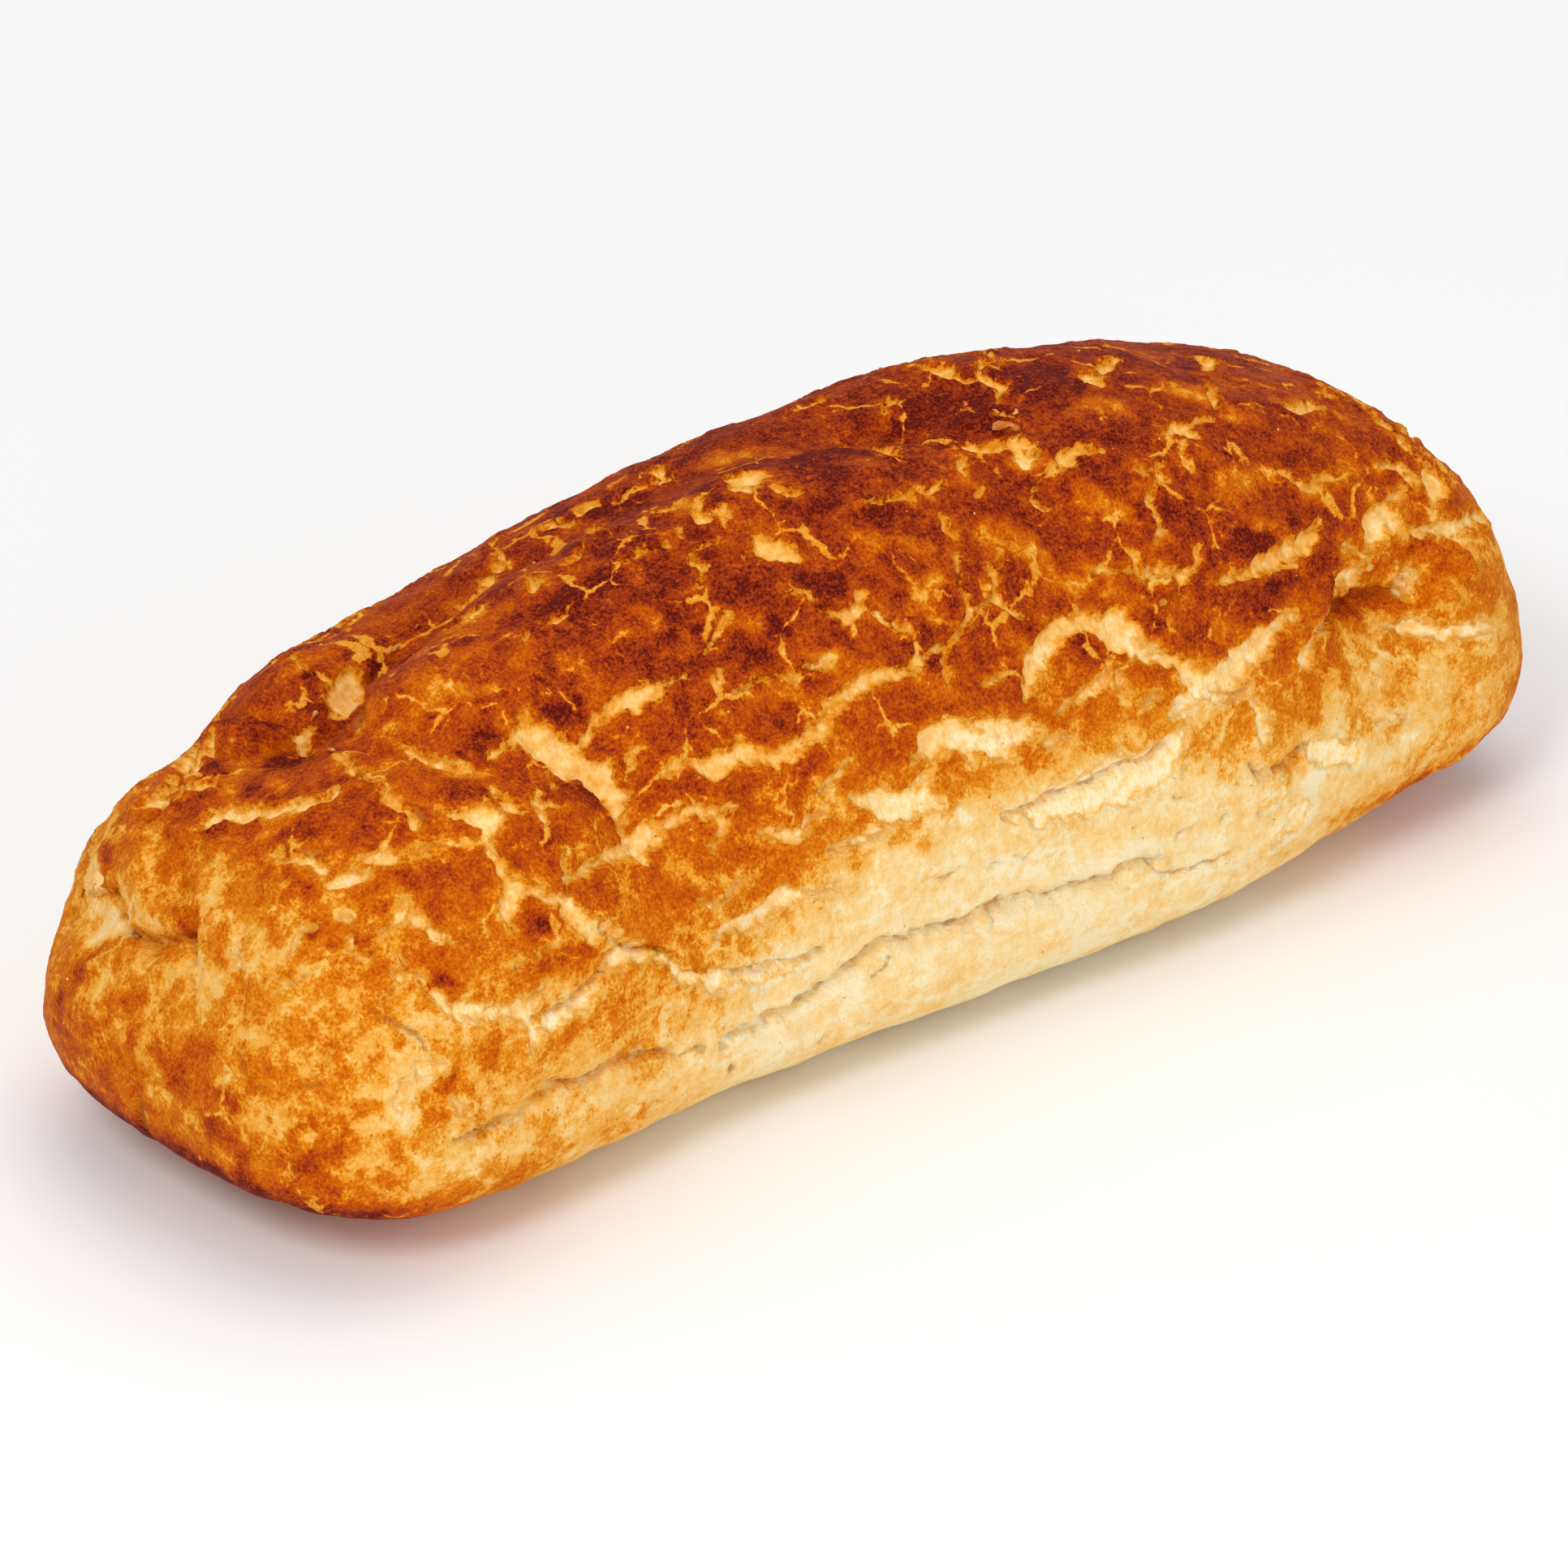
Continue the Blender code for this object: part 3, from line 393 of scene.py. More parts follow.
# pale places with soft edges, where the skin took less colour: amount, then the strokes
smears = {
    "faint": (0.18, (
        (860, 568, 5, 876, 563, 12, 895, 566, 7), (303, 874, 7, 318, 874, 14, 330, 880, 9),
        (450, 765, 6, 468, 768, 10, 496, 762, 7), (560, 820, 12, 572, 812, 13, 600, 798, 9),
        (640, 815, 16, 645, 828, 9), (636, 850, 12, 634, 868, 12, 630, 890, 16),
        (734, 842, 14, 732, 858, 12), (793, 712, 10, 797, 722, 8), (783, 757, 14, 790, 766, 8),
        (690, 812, 10, 702, 818, 9), (1010, 690, 12, 1004, 702, 12, 1020, 692, 8),
        (1066, 657, 14, 1082, 662, 12), (1128, 672, 10, 1142, 676, 8), (1060, 674, 8, 1076, 682, 6),
        (1150, 716, 15, 1162, 710, 9), (1130, 746, 20, 1146, 734, 20, 1160, 760, 18, 1182, 752, 14),
        (920, 770, 18, 940, 764, 14), (1016, 806, 14, 1018, 818, 12), (890, 874, 16, 878, 876, 8),
        (930, 972, 8, 940, 966, 5), (1348, 610, 16, 1378, 616, 18), (1440, 476, 8, 1466, 480, 8),
        (1520, 510, 14, 1556, 510, 10), (1340, 500, 8, 1380, 495, 10), (1396, 430, 9, 1430, 436, 8),
        (1530, 588, 14, 1560, 592, 8), (1545, 640, 8, 1575, 646, 6),
        (1505, 762, 14, 1520, 776, 10, 1500, 785, 8), (1400, 788, 26, 1426, 786, 22),
        (1290, 720, 22, 1330, 728, 20), (1190, 910, 26, 1224, 918, 18),
        (455, 872, 8, 448, 888, 9, 432, 906, 8), (520, 795, 16, 524, 806, 8),
        (527, 832, 9, 530, 850, 16, 518, 868, 14, 506, 888, 9), (570, 885, 8, 588, 890, 5),
        (566, 852, 14, 600, 846, 10), (556, 950, 16, 590, 952, 14), (480, 944, 10, 496, 948, 6),
        (325, 934, 12, 310, 945, 12, 290, 960, 14, 272, 975, 8), (258, 915, 12, 262, 925, 9, 284, 926, 6),
        (220, 965, 14, 244, 966, 12), (232, 946, 12, 226, 956, 8),
        (348, 828, 8, 376, 816, 10, 410, 800, 10), (338, 965, 12, 348, 970, 8),
        (660, 1064, 10, 700, 1155, 8), (820, 1072, 16, 850, 1085, 14), (1045, 940, 10, 1056, 925, 8),
        (1000, 985, 6, 1040, 992, 8),
    )),
    "pale": (0.16, (
        (430, 1432, 30, 462, 1436, 34, 450, 1404, 22, 470, 1394, 16), (148, 1277, 18),
        (300, 1150, 30, 310, 1190, 30), (240, 1190, 26, 250, 1230, 30),
        (150, 1122, 26, 128, 1136, 24, 116, 1142, 14), (184, 1036, 18, 180, 1048, 12),
        (136, 1012, 14, 112, 1034, 10), (170, 1112, 14, 178, 1130, 14, 196, 1142, 10),
        (258, 1070, 22, 266, 1095, 24, 258, 1130, 26), (300, 1180, 18, 296, 1186, 12),
        (244, 1190, 18, 250, 1215, 20, 262, 1205, 14), (390, 1112, 18, 430, 1112, 16),
        (356, 1208, 12, 342, 1226, 10, 420, 1222, 14), (226, 1262, 14, 222, 1275, 12),
        (190, 1320, 14, 182, 1345, 16, 190, 1360, 14), (318, 1370, 26, 330, 1400, 22, 322, 1430, 20),
        (440, 1348, 18, 456, 1352, 14),
        (414, 1436, 12, 430, 1430, 28, 450, 1428, 36, 468, 1434, 34, 480, 1440, 16),
        (452, 1397, 6, 462, 1392, 16, 474, 1397, 15, 488, 1402, 4), (480, 1310, 12, 476, 1322, 10),
        (1180, 998, 16, 1198, 1008, 12), (700, 1215, 24, 690, 1232, 20), (870, 1090, 14, 890, 1080, 10),
        (1668, 800, 30, 1684, 812, 34, 1690, 826, 22), (1700, 815, 10, 1716, 818, 7),
        (1640, 868, 24, 1660, 885, 18), (1760, 830, 30, 1770, 870, 40, 1740, 905, 30),
        (1690, 935, 14, 1720, 925, 20), (1630, 960, 14, 1600, 965, 10), (1650, 680, 18, 1660, 698, 20),
    )),
    "tan": (0.19, (
        (1340, 610, 14, 1358, 616, 20, 1382, 622, 18, 1396, 630, 10),
        (1318, 505, 6, 1345, 501, 8, 1385, 503, 8), (1348, 488, 8, 1364, 494, 8, 1380, 500, 6),
        (1444, 478, 8, 1462, 486, 10, 1480, 482, 6), (1468, 600, 8, 1498, 604, 8, 1520, 610, 8),
        (1478, 561, 8, 1498, 568, 10, 1516, 576, 6), (1496, 463, 6, 1514, 469, 6),
        (1505, 505, 10, 1524, 515, 14, 1545, 508, 10), (1508, 588, 12, 1540, 592, 12, 1562, 588, 10),
        (1555, 640, 14, 1572, 644, 14), (1575, 535, 10, 1600, 540, 12, 1622, 546, 10),
        (1640, 573, 8, 1662, 570, 14, 1680, 580, 12), (1652, 513, 6, 1672, 521, 6),
        (1578, 495, 10, 1600, 486, 6), (1632, 524, 5, 1648, 533, 5), (1610, 605, 10, 1635, 608, 8),
        (1330, 690, 12, 1346, 700, 10), (1322, 722, 12, 1350, 728, 16, 1384, 722, 12),
        (1392, 735, 12, 1410, 746, 10), (1432, 655, 12, 1424, 675, 12, 1422, 698, 12),
        (1396, 572, 14, 1404, 590, 12, 1400, 612, 10), (1300, 700, 10, 1290, 690, 10),
        (1160, 700, 10, 1157, 718, 12), (1126, 668, 14, 1150, 680, 10), (1120, 742, 14, 1138, 734, 12),
        (1216, 655, 10, 1226, 690, 10), (1180, 560, 8, 1188, 585, 10),
        (1050, 655, 10, 1075, 665, 14, 1100, 660, 10), (838, 608, 10, 846, 625, 14, 856, 640, 12),
        (1046, 608, 6, 1041, 630, 8, 1046, 648, 6), (770, 778, 10, 776, 788, 10),
        (1008, 815, 12, 1026, 800, 16, 1044, 815, 14), (1064, 762, 16, 1082, 746, 14),
        (955, 655, 12, 940, 640, 10), (890, 560, 10, 930, 556, 12, 970, 558, 10),
        (1020, 570, 8, 1050, 566, 10, 1085, 570, 8), (700, 650, 8, 730, 640, 8),
        (660, 720, 8, 700, 705, 10, 730, 700, 8), (560, 770, 12, 590, 760, 16, 620, 752, 12),
        (640, 800, 12, 668, 790, 14, 690, 792, 10), (700, 840, 14, 730, 830, 12),
        (800, 810, 12, 830, 800, 14, 850, 790, 10), (920, 850, 12, 950, 862, 14, 980, 858, 12),
        (1130, 830, 14, 1160, 845, 16, 1190, 838, 12), (1240, 790, 12, 1270, 800, 16, 1300, 792, 12),
        (1380, 790, 14, 1410, 800, 14, 1430, 815, 12), (1490, 760, 14, 1515, 770, 14),
        (1440, 880, 16, 1470, 870, 20, 1500, 862, 16), (540, 860, 10, 570, 850, 12, 600, 846, 10),
        (480, 900, 8, 510, 905, 10),
    )),
    "worn": (0.30, (
        (1222, 657, 6, 1234, 668, 20, 1250, 672, 27, 1266, 679, 25, 1280, 692, 8),
        (1254, 560, 20, 1270, 566, 24),
    )),
    "goldPocket": (0.20, (
        (112, 1085, 20), (110, 1135, 24, 125, 1130, 30, 138, 1135, 20), (1735, 700, 8, 1728, 722, 10),
    )),
}

# darker spots of the bake
scorches = {
    "deep": (0.18, (
        (262, 890, 12, 300, 888, 16, 336, 893, 12), (1110, 512, 26, 1160, 506, 34, 1210, 500, 20),
        (1270, 470, 30, 1300, 450, 24), (275, 1020, 22, 298, 1022, 18), (355, 1030, 24, 375, 1022, 16),
        (128, 1045, 12, 134, 1064, 12), (98, 1100, 6, 112, 1098, 11, 130, 1101, 8), (100, 1192, 20),
        (70, 1240, 16), (165, 1272, 20), (201, 1303, 12), (191, 1284, 10), (164, 1226, 14, 156, 1246, 12),
        (262, 1392, 16), (286, 1404, 7, 295, 1424, 14, 296, 1442, 16), (226, 1326, 14, 218, 1342, 10),
        (270, 1352, 14, 290, 1356, 14), (372, 1385, 14, 384, 1378, 12), (362, 1436, 14, 372, 1430, 12),
        (412, 1410, 14, 402, 1418, 10), (480, 1456, 12), (350, 1462, 10, 366, 1460, 8), (410, 1465, 10),
        (558, 1326, 14, 566, 1322, 10), (548, 1384, 14), (606, 1286, 12, 604, 1298, 8),
        (636, 1274, 14, 646, 1268, 10), (710, 1263, 13), (700, 1283, 7), (672, 1289, 6),
        (533, 1212, 16, 548, 1204, 12), (448, 1164, 24), (380, 1132, 12, 394, 1130, 12),
        (372, 1096, 14, 380, 1104, 10), (228, 1128, 9, 230, 1140, 8), (228, 1086, 9),
        (560, 975, 16, 590, 970, 18),
        (640, 930, 8, 660, 940, 10, 690, 960, 14, 730, 975, 26, 755, 1000, 14),
        (645, 1055, 22, 660, 1035, 18), (660, 1135, 22, 684, 1140, 16), (735, 1095, 16, 752, 1110, 14),
        (1264, 930, 12, 1272, 924, 10), (1166, 935, 14, 1176, 937, 10), (1436, 838, 12, 1424, 832, 10),
        (1340, 790, 18, 1355, 800, 14), (1420, 765, 18), (1500, 770, 14, 1480, 790, 18, 1510, 800, 14),
        (1585, 800, 8, 1580, 810, 8), (1540, 666, 30, 1560, 672, 24), (1590, 645, 14),
        (1590, 715, 20, 1545, 745, 18), (1690, 742, 10, 1660, 745, 12), (1638, 690, 6, 1650, 712, 5),
        (1780, 700, 6), (1790, 610, 20), (1740, 632, 9, 1748, 645, 8), (1675, 533, 14),
        (1000, 715, 20, 1030, 722, 18), (965, 765, 20), (1165, 735, 12, 1176, 748, 10), (820, 760, 22),
        (700, 735, 26, 740, 715, 26), (870, 780, 10), (940, 800, 26, 920, 815, 20), (780, 790, 16),
        (580, 925, 22, 610, 900, 16), (690, 880, 20, 706, 872, 14), (880, 622, 10, 893, 618, 7),
        (850, 640, 9), (700, 630, 12, 740, 620, 18, 780, 612, 14), (470, 810, 20, 450, 800, 18),
        (380, 832, 12, 395, 836, 10), (372, 868, 18), (350, 945, 18, 372, 940, 14),
        (312, 975, 12, 330, 985, 12), (250, 955, 6, 256, 940, 9), (285, 915, 12),
        (1040, 555, 24, 1000, 562, 20), (1090, 585, 12), (1160, 620, 9),
    )),
    "patches": (0.12, (
        (345, 940, 22, 368, 950, 34, 395, 950, 36, 415, 938, 22),
        (318, 962, 18, 300, 970, 14, 312, 985, 12), (275, 975, 8, 292, 972, 10),
        (255, 935, 14, 262, 948, 20, 268, 938, 14), (225, 982, 14, 240, 976, 16, 252, 974, 8),
        (262, 1022, 18, 280, 1020, 26, 300, 1028, 18), (265, 1045, 18, 280, 1058, 18),
        (345, 1040, 20, 362, 1032, 26, 385, 1030, 30, 410, 1030, 34, 440, 1024, 36, 498, 1026, 22),
        (400, 1000, 24, 430, 1000, 36, 460, 1000, 34, 490, 1004, 20),
        (430, 965, 20, 450, 975, 30, 475, 985, 14),
        (325, 1068, 14, 345, 1080, 26, 365, 1090, 26, 375, 1100, 18), (300, 1056, 10, 318, 1056, 10),
        (128, 1045, 10, 130, 1062, 10), (150, 1010, 8, 152, 1035, 8), (205, 1042, 10, 212, 1030, 10),
        (188, 1070, 12, 190, 1092, 12), (222, 1010, 8, 235, 1012, 10), (228, 1130, 10, 229, 1145, 8),
        (385, 1130, 14, 395, 1135, 10), (430, 1105, 12, 455, 1108, 20, 478, 1110, 14), (450, 1165, 20),
        (400, 1175, 10, 415, 1165, 14), (420, 1190, 20, 445, 1195, 22, 470, 1190, 16),
        (490, 1165, 16, 510, 1160, 14), (515, 1115, 18, 535, 1122, 22, 552, 1130, 12),
        (465, 1085, 22, 495, 1085, 26, 525, 1085, 26, 550, 1080, 20), (545, 1205, 18, 560, 1215, 14),
        (100, 1195, 20, 108, 1208, 12), (130, 1235, 18, 155, 1235, 20, 180, 1225, 16, 190, 1240, 16),
        (75, 1240, 14, 78, 1275, 18, 85, 1300, 12), (110, 1270, 16, 140, 1290, 24, 165, 1295, 20),
        (125, 1305, 18, 130, 1330, 20, 135, 1350, 12),
        (160, 1320, 12, 165, 1345, 10, 170, 1370, 8, 172, 1392, 8), (195, 1280, 14, 203, 1302, 12),
        (215, 1325, 12, 222, 1338, 10), (240, 1300, 20, 255, 1305, 16), (265, 1350, 24, 285, 1355, 18),
        (260, 1395, 16, 265, 1405, 10), (288, 1400, 8, 292, 1420, 14, 294, 1440, 18),
        (360, 1390, 14, 378, 1385, 14), (355, 1435, 10, 370, 1435, 12, 395, 1430, 12),
        (410, 1410, 14, 425, 1400, 16, 445, 1385, 18, 465, 1375, 14), (390, 1270, 18, 385, 1300, 22),
        (330, 1310, 16), (415, 1315, 16, 425, 1335, 14), (490, 1430, 14, 500, 1410, 22, 515, 1405, 16),
        (480, 1455, 12, 500, 1455, 8), (410, 1465, 10), (520, 1360, 20, 550, 1345, 24, 565, 1325, 14),
        (600, 1290, 14, 605, 1310, 10), (555, 1385, 12, 570, 1380, 10),
    )),
    "sides": (0.11, (
        (520, 1195, 50, 580, 1195, 70, 650, 1180, 80, 710, 1150, 60), (610, 1100, 50, 670, 1090, 60),
        (550, 1350, 50, 610, 1345, 60, 670, 1325, 40), (430, 1440, 40, 470, 1435, 40),
    )),
    "lips": (0.12, (
        (1646, 750, 10, 1660, 744, 16, 1685, 739, 12, 1720, 741, 10, 1745, 742, 8),
        (1745, 668, 20, 1775, 672, 24, 1795, 690, 14), (112, 1099, 12, 130, 1099, 12),
        (112, 1170, 10, 128, 1158, 8, 146, 1151, 6), (1755, 700, 10, 1790, 702, 8),
        (1800, 705, 14, 1830, 722, 14, 1842, 726, 10), (1640, 690, 30, 1630, 720, 40, 1622, 745, 20),
    )),
    "footEdge": (0.38, (
        (266, 1450, 12, 320, 1468, 8, 350, 1484, 8, 380, 1496, 10, 430, 1502, 12, 480, 1506, 12,
         515, 1504, 8),
    )),
    "farFoot": (0.24, (
        (1700, 990, 3, 1740, 970, 5, 1780, 948, 8, 1820, 925, 10, 1860, 895, 12, 1876, 870, 8),
    )),
}

# hairline tears and folded edges, cut as thin grooves, with painted shade along them as thin brown lines
slits = (
    (915, 1268, 2, 953, 1252, 3, 991, 1233, 3, 1026, 1214, 2),
    (1036, 1198, 2, 1060, 1183, 3, 1083, 1164, 3, 1110, 1157, 2, 1137, 1150, 3),
    (1150, 1145, 2, 1172, 1141, 5, 1198, 1134, 3, 1225, 1118, 4, 1262, 1106, 3, 1309, 1099, 2,
     1340, 1090, 2, 1374, 1082, 2, 1402, 1062, 3),
    (1402, 1058, 2, 1424, 1070, 2, 1445, 1076, 4, 1459, 1074, 4, 1478, 1066, 2, 1500, 1060, 3,
     1518, 1050, 2),
    (845, 1200, 1, 880, 1196, 2, 912, 1194, 4, 926, 1193, 2, 938, 1196, 4, 968, 1186, 2, 990, 1180, 2,
     1014, 1170, 4),
    (1236, 1004, 2, 1250, 1000, 2, 1266, 994, 2, 1284, 987, 3, 1300, 979, 3, 1318, 976, 4, 1330, 966, 3,
     1348, 966, 4, 1366, 953, 3, 1384, 944, 3, 1396, 940, 5, 1412, 941, 3, 1424, 931, 3, 1434, 920, 2,
     1444, 911, 1),
    (1545, 942, 4, 1550, 955, 5, 1566, 960, 2, 1575, 948, 3, 1588, 941, 6, 1598, 928, 4, 1613, 917, 4),
    (572, 1400, 2, 600, 1397, 4, 618, 1390, 3, 640, 1372, 2, 668, 1348, 1),
    (650, 1345, 1, 690, 1332, 2, 720, 1334, 3, 742, 1324, 4, 764, 1310, 2, 800, 1300, 2, 858, 1290, 1),
    (716, 1228, 3, 728, 1214, 2, 738, 1204, 3), (690, 1240, 3, 702, 1238, 2, 716, 1226, 2),
    (750, 1156, 2, 770, 1163, 3, 796, 1169, 3, 824, 1171, 1),
    (603, 972, 2, 612, 988, 3, 617, 1002, 3, 624, 1009, 1), (372, 1049, 4, 386, 1048, 3, 398, 1053, 4),
    (400, 1072, 1, 418, 1069, 2, 436, 1069, 1), (512, 1000, 4, 520, 1005, 7, 531, 1009, 3),
    (452, 852, 2, 444, 874, 2, 437, 892, 4, 430, 903, 1), (440, 950, 2, 462, 958, 1),
    (165, 1345, 2, 168, 1362, 3, 172, 1385, 4, 180, 1398, 2),
    (135, 1102, 2, 143, 1122, 2, 150, 1145, 3, 176, 1150, 2, 200, 1157, 3, 232, 1150, 1),
    (88, 1122, 1, 74, 1150, 3, 60, 1172, 1), (238, 1150, 2, 234, 1168, 2, 230, 1195, 1, 233, 1222, 1),
    (1640, 765, 2, 1644, 755, 5, 1656, 744, 3, 1672, 735, 2, 1700, 733, 2, 1728, 735, 2),
    (1498, 850, 1, 1520, 853, 2, 1540, 850, 2), (1236, 1108, 4, 1228, 1130, 2, 1224, 1146, 1),
    (1450, 983, 3, 1461, 984, 2, 1473, 981, 1), (1454, 1031, 3, 1470, 1022, 2),
    (1507, 1011, 2, 1514, 1004, 3), (1110, 1186, 1, 1102, 1178, 2, 1090, 1196, 3, 1078, 1204, 2),
    (903, 1316, 6, 905, 1322, 7), (912, 1272, 2, 920, 1266, 3), (934, 1274, 2, 952, 1266, 3, 950, 1258, 2),
    (1012, 1288, 4, 1018, 1282, 2), (1146, 1086, 1, 1168, 1085, 2, 1188, 1070, 1),
    (1226, 1068, 3, 1240, 1066, 1), (1252, 1055, 1, 1268, 1060, 2, 1272, 1052, 1),
    (978, 1238, 1, 992, 1236, 4, 1002, 1236, 2),
    (700, 938, 1, 690, 950, 2, 712, 958, 2, 742, 972, 2, 762, 998, 3, 778, 1034, 2),
    (562, 940, 2, 548, 931, 2, 528, 925, 1), (1440, 735, 1, 1436, 742, 2), (1543, 727, 4, 1543, 729, 3),
    (588, 703, 7, 590, 706, 6),
    (455, 1245, 2, 470, 1250, 4, 485, 1258, 5, 500, 1265, 5, 515, 1272, 6, 522, 1282, 6, 530, 1296, 3),
    (484, 1218, 2, 474, 1230, 4, 464, 1240, 2), (412, 1286, 3, 405, 1300, 4, 402, 1314, 3),
    (366, 1334, 2, 382, 1340, 4, 396, 1338, 2), (296, 1296, 2, 296, 1312, 3, 304, 1330, 2),
    (308, 1342, 2, 322, 1340, 2), (1176, 660, 2, 1180, 690, 2, 1184, 715, 2, 1190, 735, 1),
)


# where the dough was folded: depth of the creases, or height of the swellings as a negative depth
folds = {
    "nearFold": (3.4, (
        (134, 1096, 8, 143, 1112, 12, 148, 1130, 14, 154, 1147, 18, 168, 1152, 20, 186, 1159, 22,
         200, 1161, 18, 216, 1154, 14, 234, 1151, 8),
        (100, 1098, 8, 116, 1097, 12, 132, 1095, 12),
    )),
    "nearPocket": (1.6, (
        (112, 1082, 26, 124, 1084, 20), (108, 1140, 26, 122, 1130, 40, 138, 1126, 30),
        (92, 1120, 8, 76, 1146, 12, 62, 1172, 8),
    )),
    "nearLobes": (-1.5, (
        (112, 1188, 26, 140, 1182, 40, 175, 1190, 50, 215, 1190, 44, 240, 1200, 20),
        (164, 1050, 24, 172, 1085, 34, 178, 1120, 36, 205, 1128, 34, 226, 1120, 20),
        (205, 1010, 20, 220, 1020, 34, 240, 1030, 24), (256, 1040, 26, 276, 1048, 50, 300, 1060, 40),
        (330, 1090, 50, 360, 1100, 56),
    )),
    "nearNotch": (2.8, (
        (246, 906, 10, 240, 918, 18, 232, 932, 20, 222, 944, 16, 210, 968, 14, 198, 988, 14, 184, 1004, 8),
        (250, 922, 8, 280, 926, 12, 312, 922, 12, 345, 914, 12, 370, 920, 8),
    )),
    "roll": (-1.6, (
        (262, 898, 20, 285, 898, 32, 312, 897, 36, 340, 900, 24, 356, 904, 10),
    )),
    "rollBack": (1.5, (
        (262, 882, 8, 285, 879, 12, 312, 881, 12, 338, 888, 10, 352, 897, 6),
    )),
    "plates": (-1.0, (
        (330, 965, 40, 365, 950, 60, 400, 945, 50),
        (365, 1030, 50, 410, 1015, 70, 460, 1005, 80, 500, 1010, 50),
        (500, 955, 40, 540, 965, 50, 565, 975, 30), (440, 965, 30, 462, 970, 40),
        (470, 1090, 50, 520, 1085, 60, 550, 1100, 50), (440, 860, 30, 480, 850, 60, 520, 830, 60),
        (520, 890, 60, 580, 880, 80, 630, 850, 60), (600, 1010, 60, 650, 1030, 80, 690, 1060, 60),
        (660, 960, 60, 700, 990, 70, 720, 1030, 50),
    )),
    "nearFace": (0.9, (
        (228, 1050, 10, 222, 1080, 16, 226, 1112, 16, 231, 1148, 14),
        (238, 1160, 10, 234, 1190, 16, 234, 1230, 16, 242, 1264, 10),
        (300, 1110, 12, 290, 1160, 20, 296, 1220, 20, 300, 1270, 10),
        (120, 1290, 10, 150, 1310, 18, 190, 1330, 14, 214, 1360, 10),
    )),
    "valley": (3.2, (
        (478, 806, 6, 458, 826, 14, 446, 852, 22, 430, 874, 24, 410, 891, 24, 394, 902, 20, 382, 914, 16,
         372, 926, 8),
    )),
    "valleyBank": (1.1, (
        (454, 850, 6, 446, 872, 12, 438, 892, 14, 428, 908, 8),
        (424, 918, 10, 460, 924, 14, 500, 929, 14, 540, 942, 16, 580, 950, 14, 616, 934, 12),
        (560, 712, 10, 590, 700, 16, 640, 690, 20, 700, 676, 16, 760, 650, 10),
    )),
    "mound": (2.0, (
        (650, 905, 14, 690, 936, 22, 722, 952, 26, 748, 970, 28, 766, 998, 28, 778, 1026, 26,
         788, 1046, 14),
        (758, 1172, 12, 740, 1202, 22, 720, 1226, 24, 692, 1244, 20, 664, 1256, 10),
        (744, 1138, 10, 764, 1155, 14, 788, 1168, 14, 830, 1174, 10),
    )),
    "lowGroove": (2.4, (
        (860, 1292, 8, 915, 1270, 16, 953, 1254, 20, 991, 1235, 22, 1026, 1214, 22, 1052, 1190, 20,
         1083, 1167, 22, 1110, 1159, 24, 1137, 1152, 28, 1172, 1144, 30, 1198, 1137, 26, 1225, 1121, 26,
         1262, 1109, 24, 1309, 1101, 22, 1374, 1085, 20, 1410, 1066, 16, 1440, 1058, 8),
        (560, 1406, 8, 600, 1399, 18, 630, 1384, 20, 668, 1352, 18, 700, 1336, 20, 742, 1326, 22,
         780, 1308, 20, 830, 1296, 10),
    )),
    "undercut": (1.6, (
        (1236, 1004, 8, 1266, 996, 14, 1300, 981, 18, 1330, 970, 20, 1366, 956, 20, 1396, 944, 20,
         1424, 933, 16, 1444, 913, 8),
        (1544, 944, 10, 1556, 960, 16, 1588, 944, 18, 1612, 918, 10),
        (905, 1197, 8, 940, 1198, 14, 980, 1186, 14, 1014, 1172, 8),
    )),
    "farFold": (3.0, (
        (1632, 772, 8, 1641, 757, 14, 1652, 745, 18, 1668, 736, 20, 1690, 732, 20, 1718, 732, 20,
         1734, 730, 12),
        (1722, 732, 12, 1733, 714, 16, 1740, 694, 14, 1744, 668, 8),
    )),
    "farPocket": (1.5, (
        (1660, 718, 30, 1685, 714, 44, 1712, 706, 40, 1728, 690, 24),
    )),
    "farLobes": (-1.8, (
        (1662, 762, 22, 1695, 758, 36, 1735, 756, 44, 1770, 740, 50, 1800, 720, 40),
        (1760, 680, 30, 1790, 690, 40, 1815, 705, 30), (1640, 690, 30, 1630, 720, 40, 1620, 745, 30),
    )),
    "crownLedge": (1.8, (
        (1040, 538, 12, 1080, 534, 20, 1130, 537, 20, 1180, 536, 20, 1226, 532, 18, 1262, 526, 12),
    )),
    "crownPlates": (-0.9, (
        (1050, 515, 24, 1110, 505, 40, 1180, 508, 40, 1230, 512, 24),
        (1300, 560, 60, 1350, 590, 80, 1400, 600, 60), (1200, 600, 50, 1240, 640, 70, 1270, 680, 50),
        (1480, 620, 60, 1540, 640, 80, 1590, 650, 50), (900, 620, 60, 960, 600, 80, 1020, 600, 50),
        (760, 760, 60, 820, 740, 90, 880, 730, 60), (1000, 730, 60, 1060, 720, 80, 1120, 700, 50),
    )),
}


strokeSettings = {
    "seed": 5,
    "step": 6.0,         # longest gap between a stroke's points, in pixels
    "slitStep": 4.0,
    "crackTip": 0.35,    # how narrow cracks end, as a share
    "wander": 0.16,      # how far a new point strays sideways, as a share of the gap that it fills
    "widest": 2.4,       # how much wider a stroke may land where the skin turns away from the camera
    "jump": 6.0,         # a gap that is longer than this and three steps breaks a stroke
}


def pixelRay(x, y):
    half = cameraSettings["picture"] / 2
    focus = cameraSettings["picture"] * cameraSettings["lens"] / cameraSettings["sensor"]
    return lookTurn @ Vector(((x - half) / focus, (half - y) / focus, -1))


def castPixel(tree, x, y):
    # where the camera's ray through a pixel meets the loaf, in millimetres
    hit = tree.ray_cast(camera.location, pixelRay(x, y))[0]
    return None if hit is None else np.array(hit) / mm


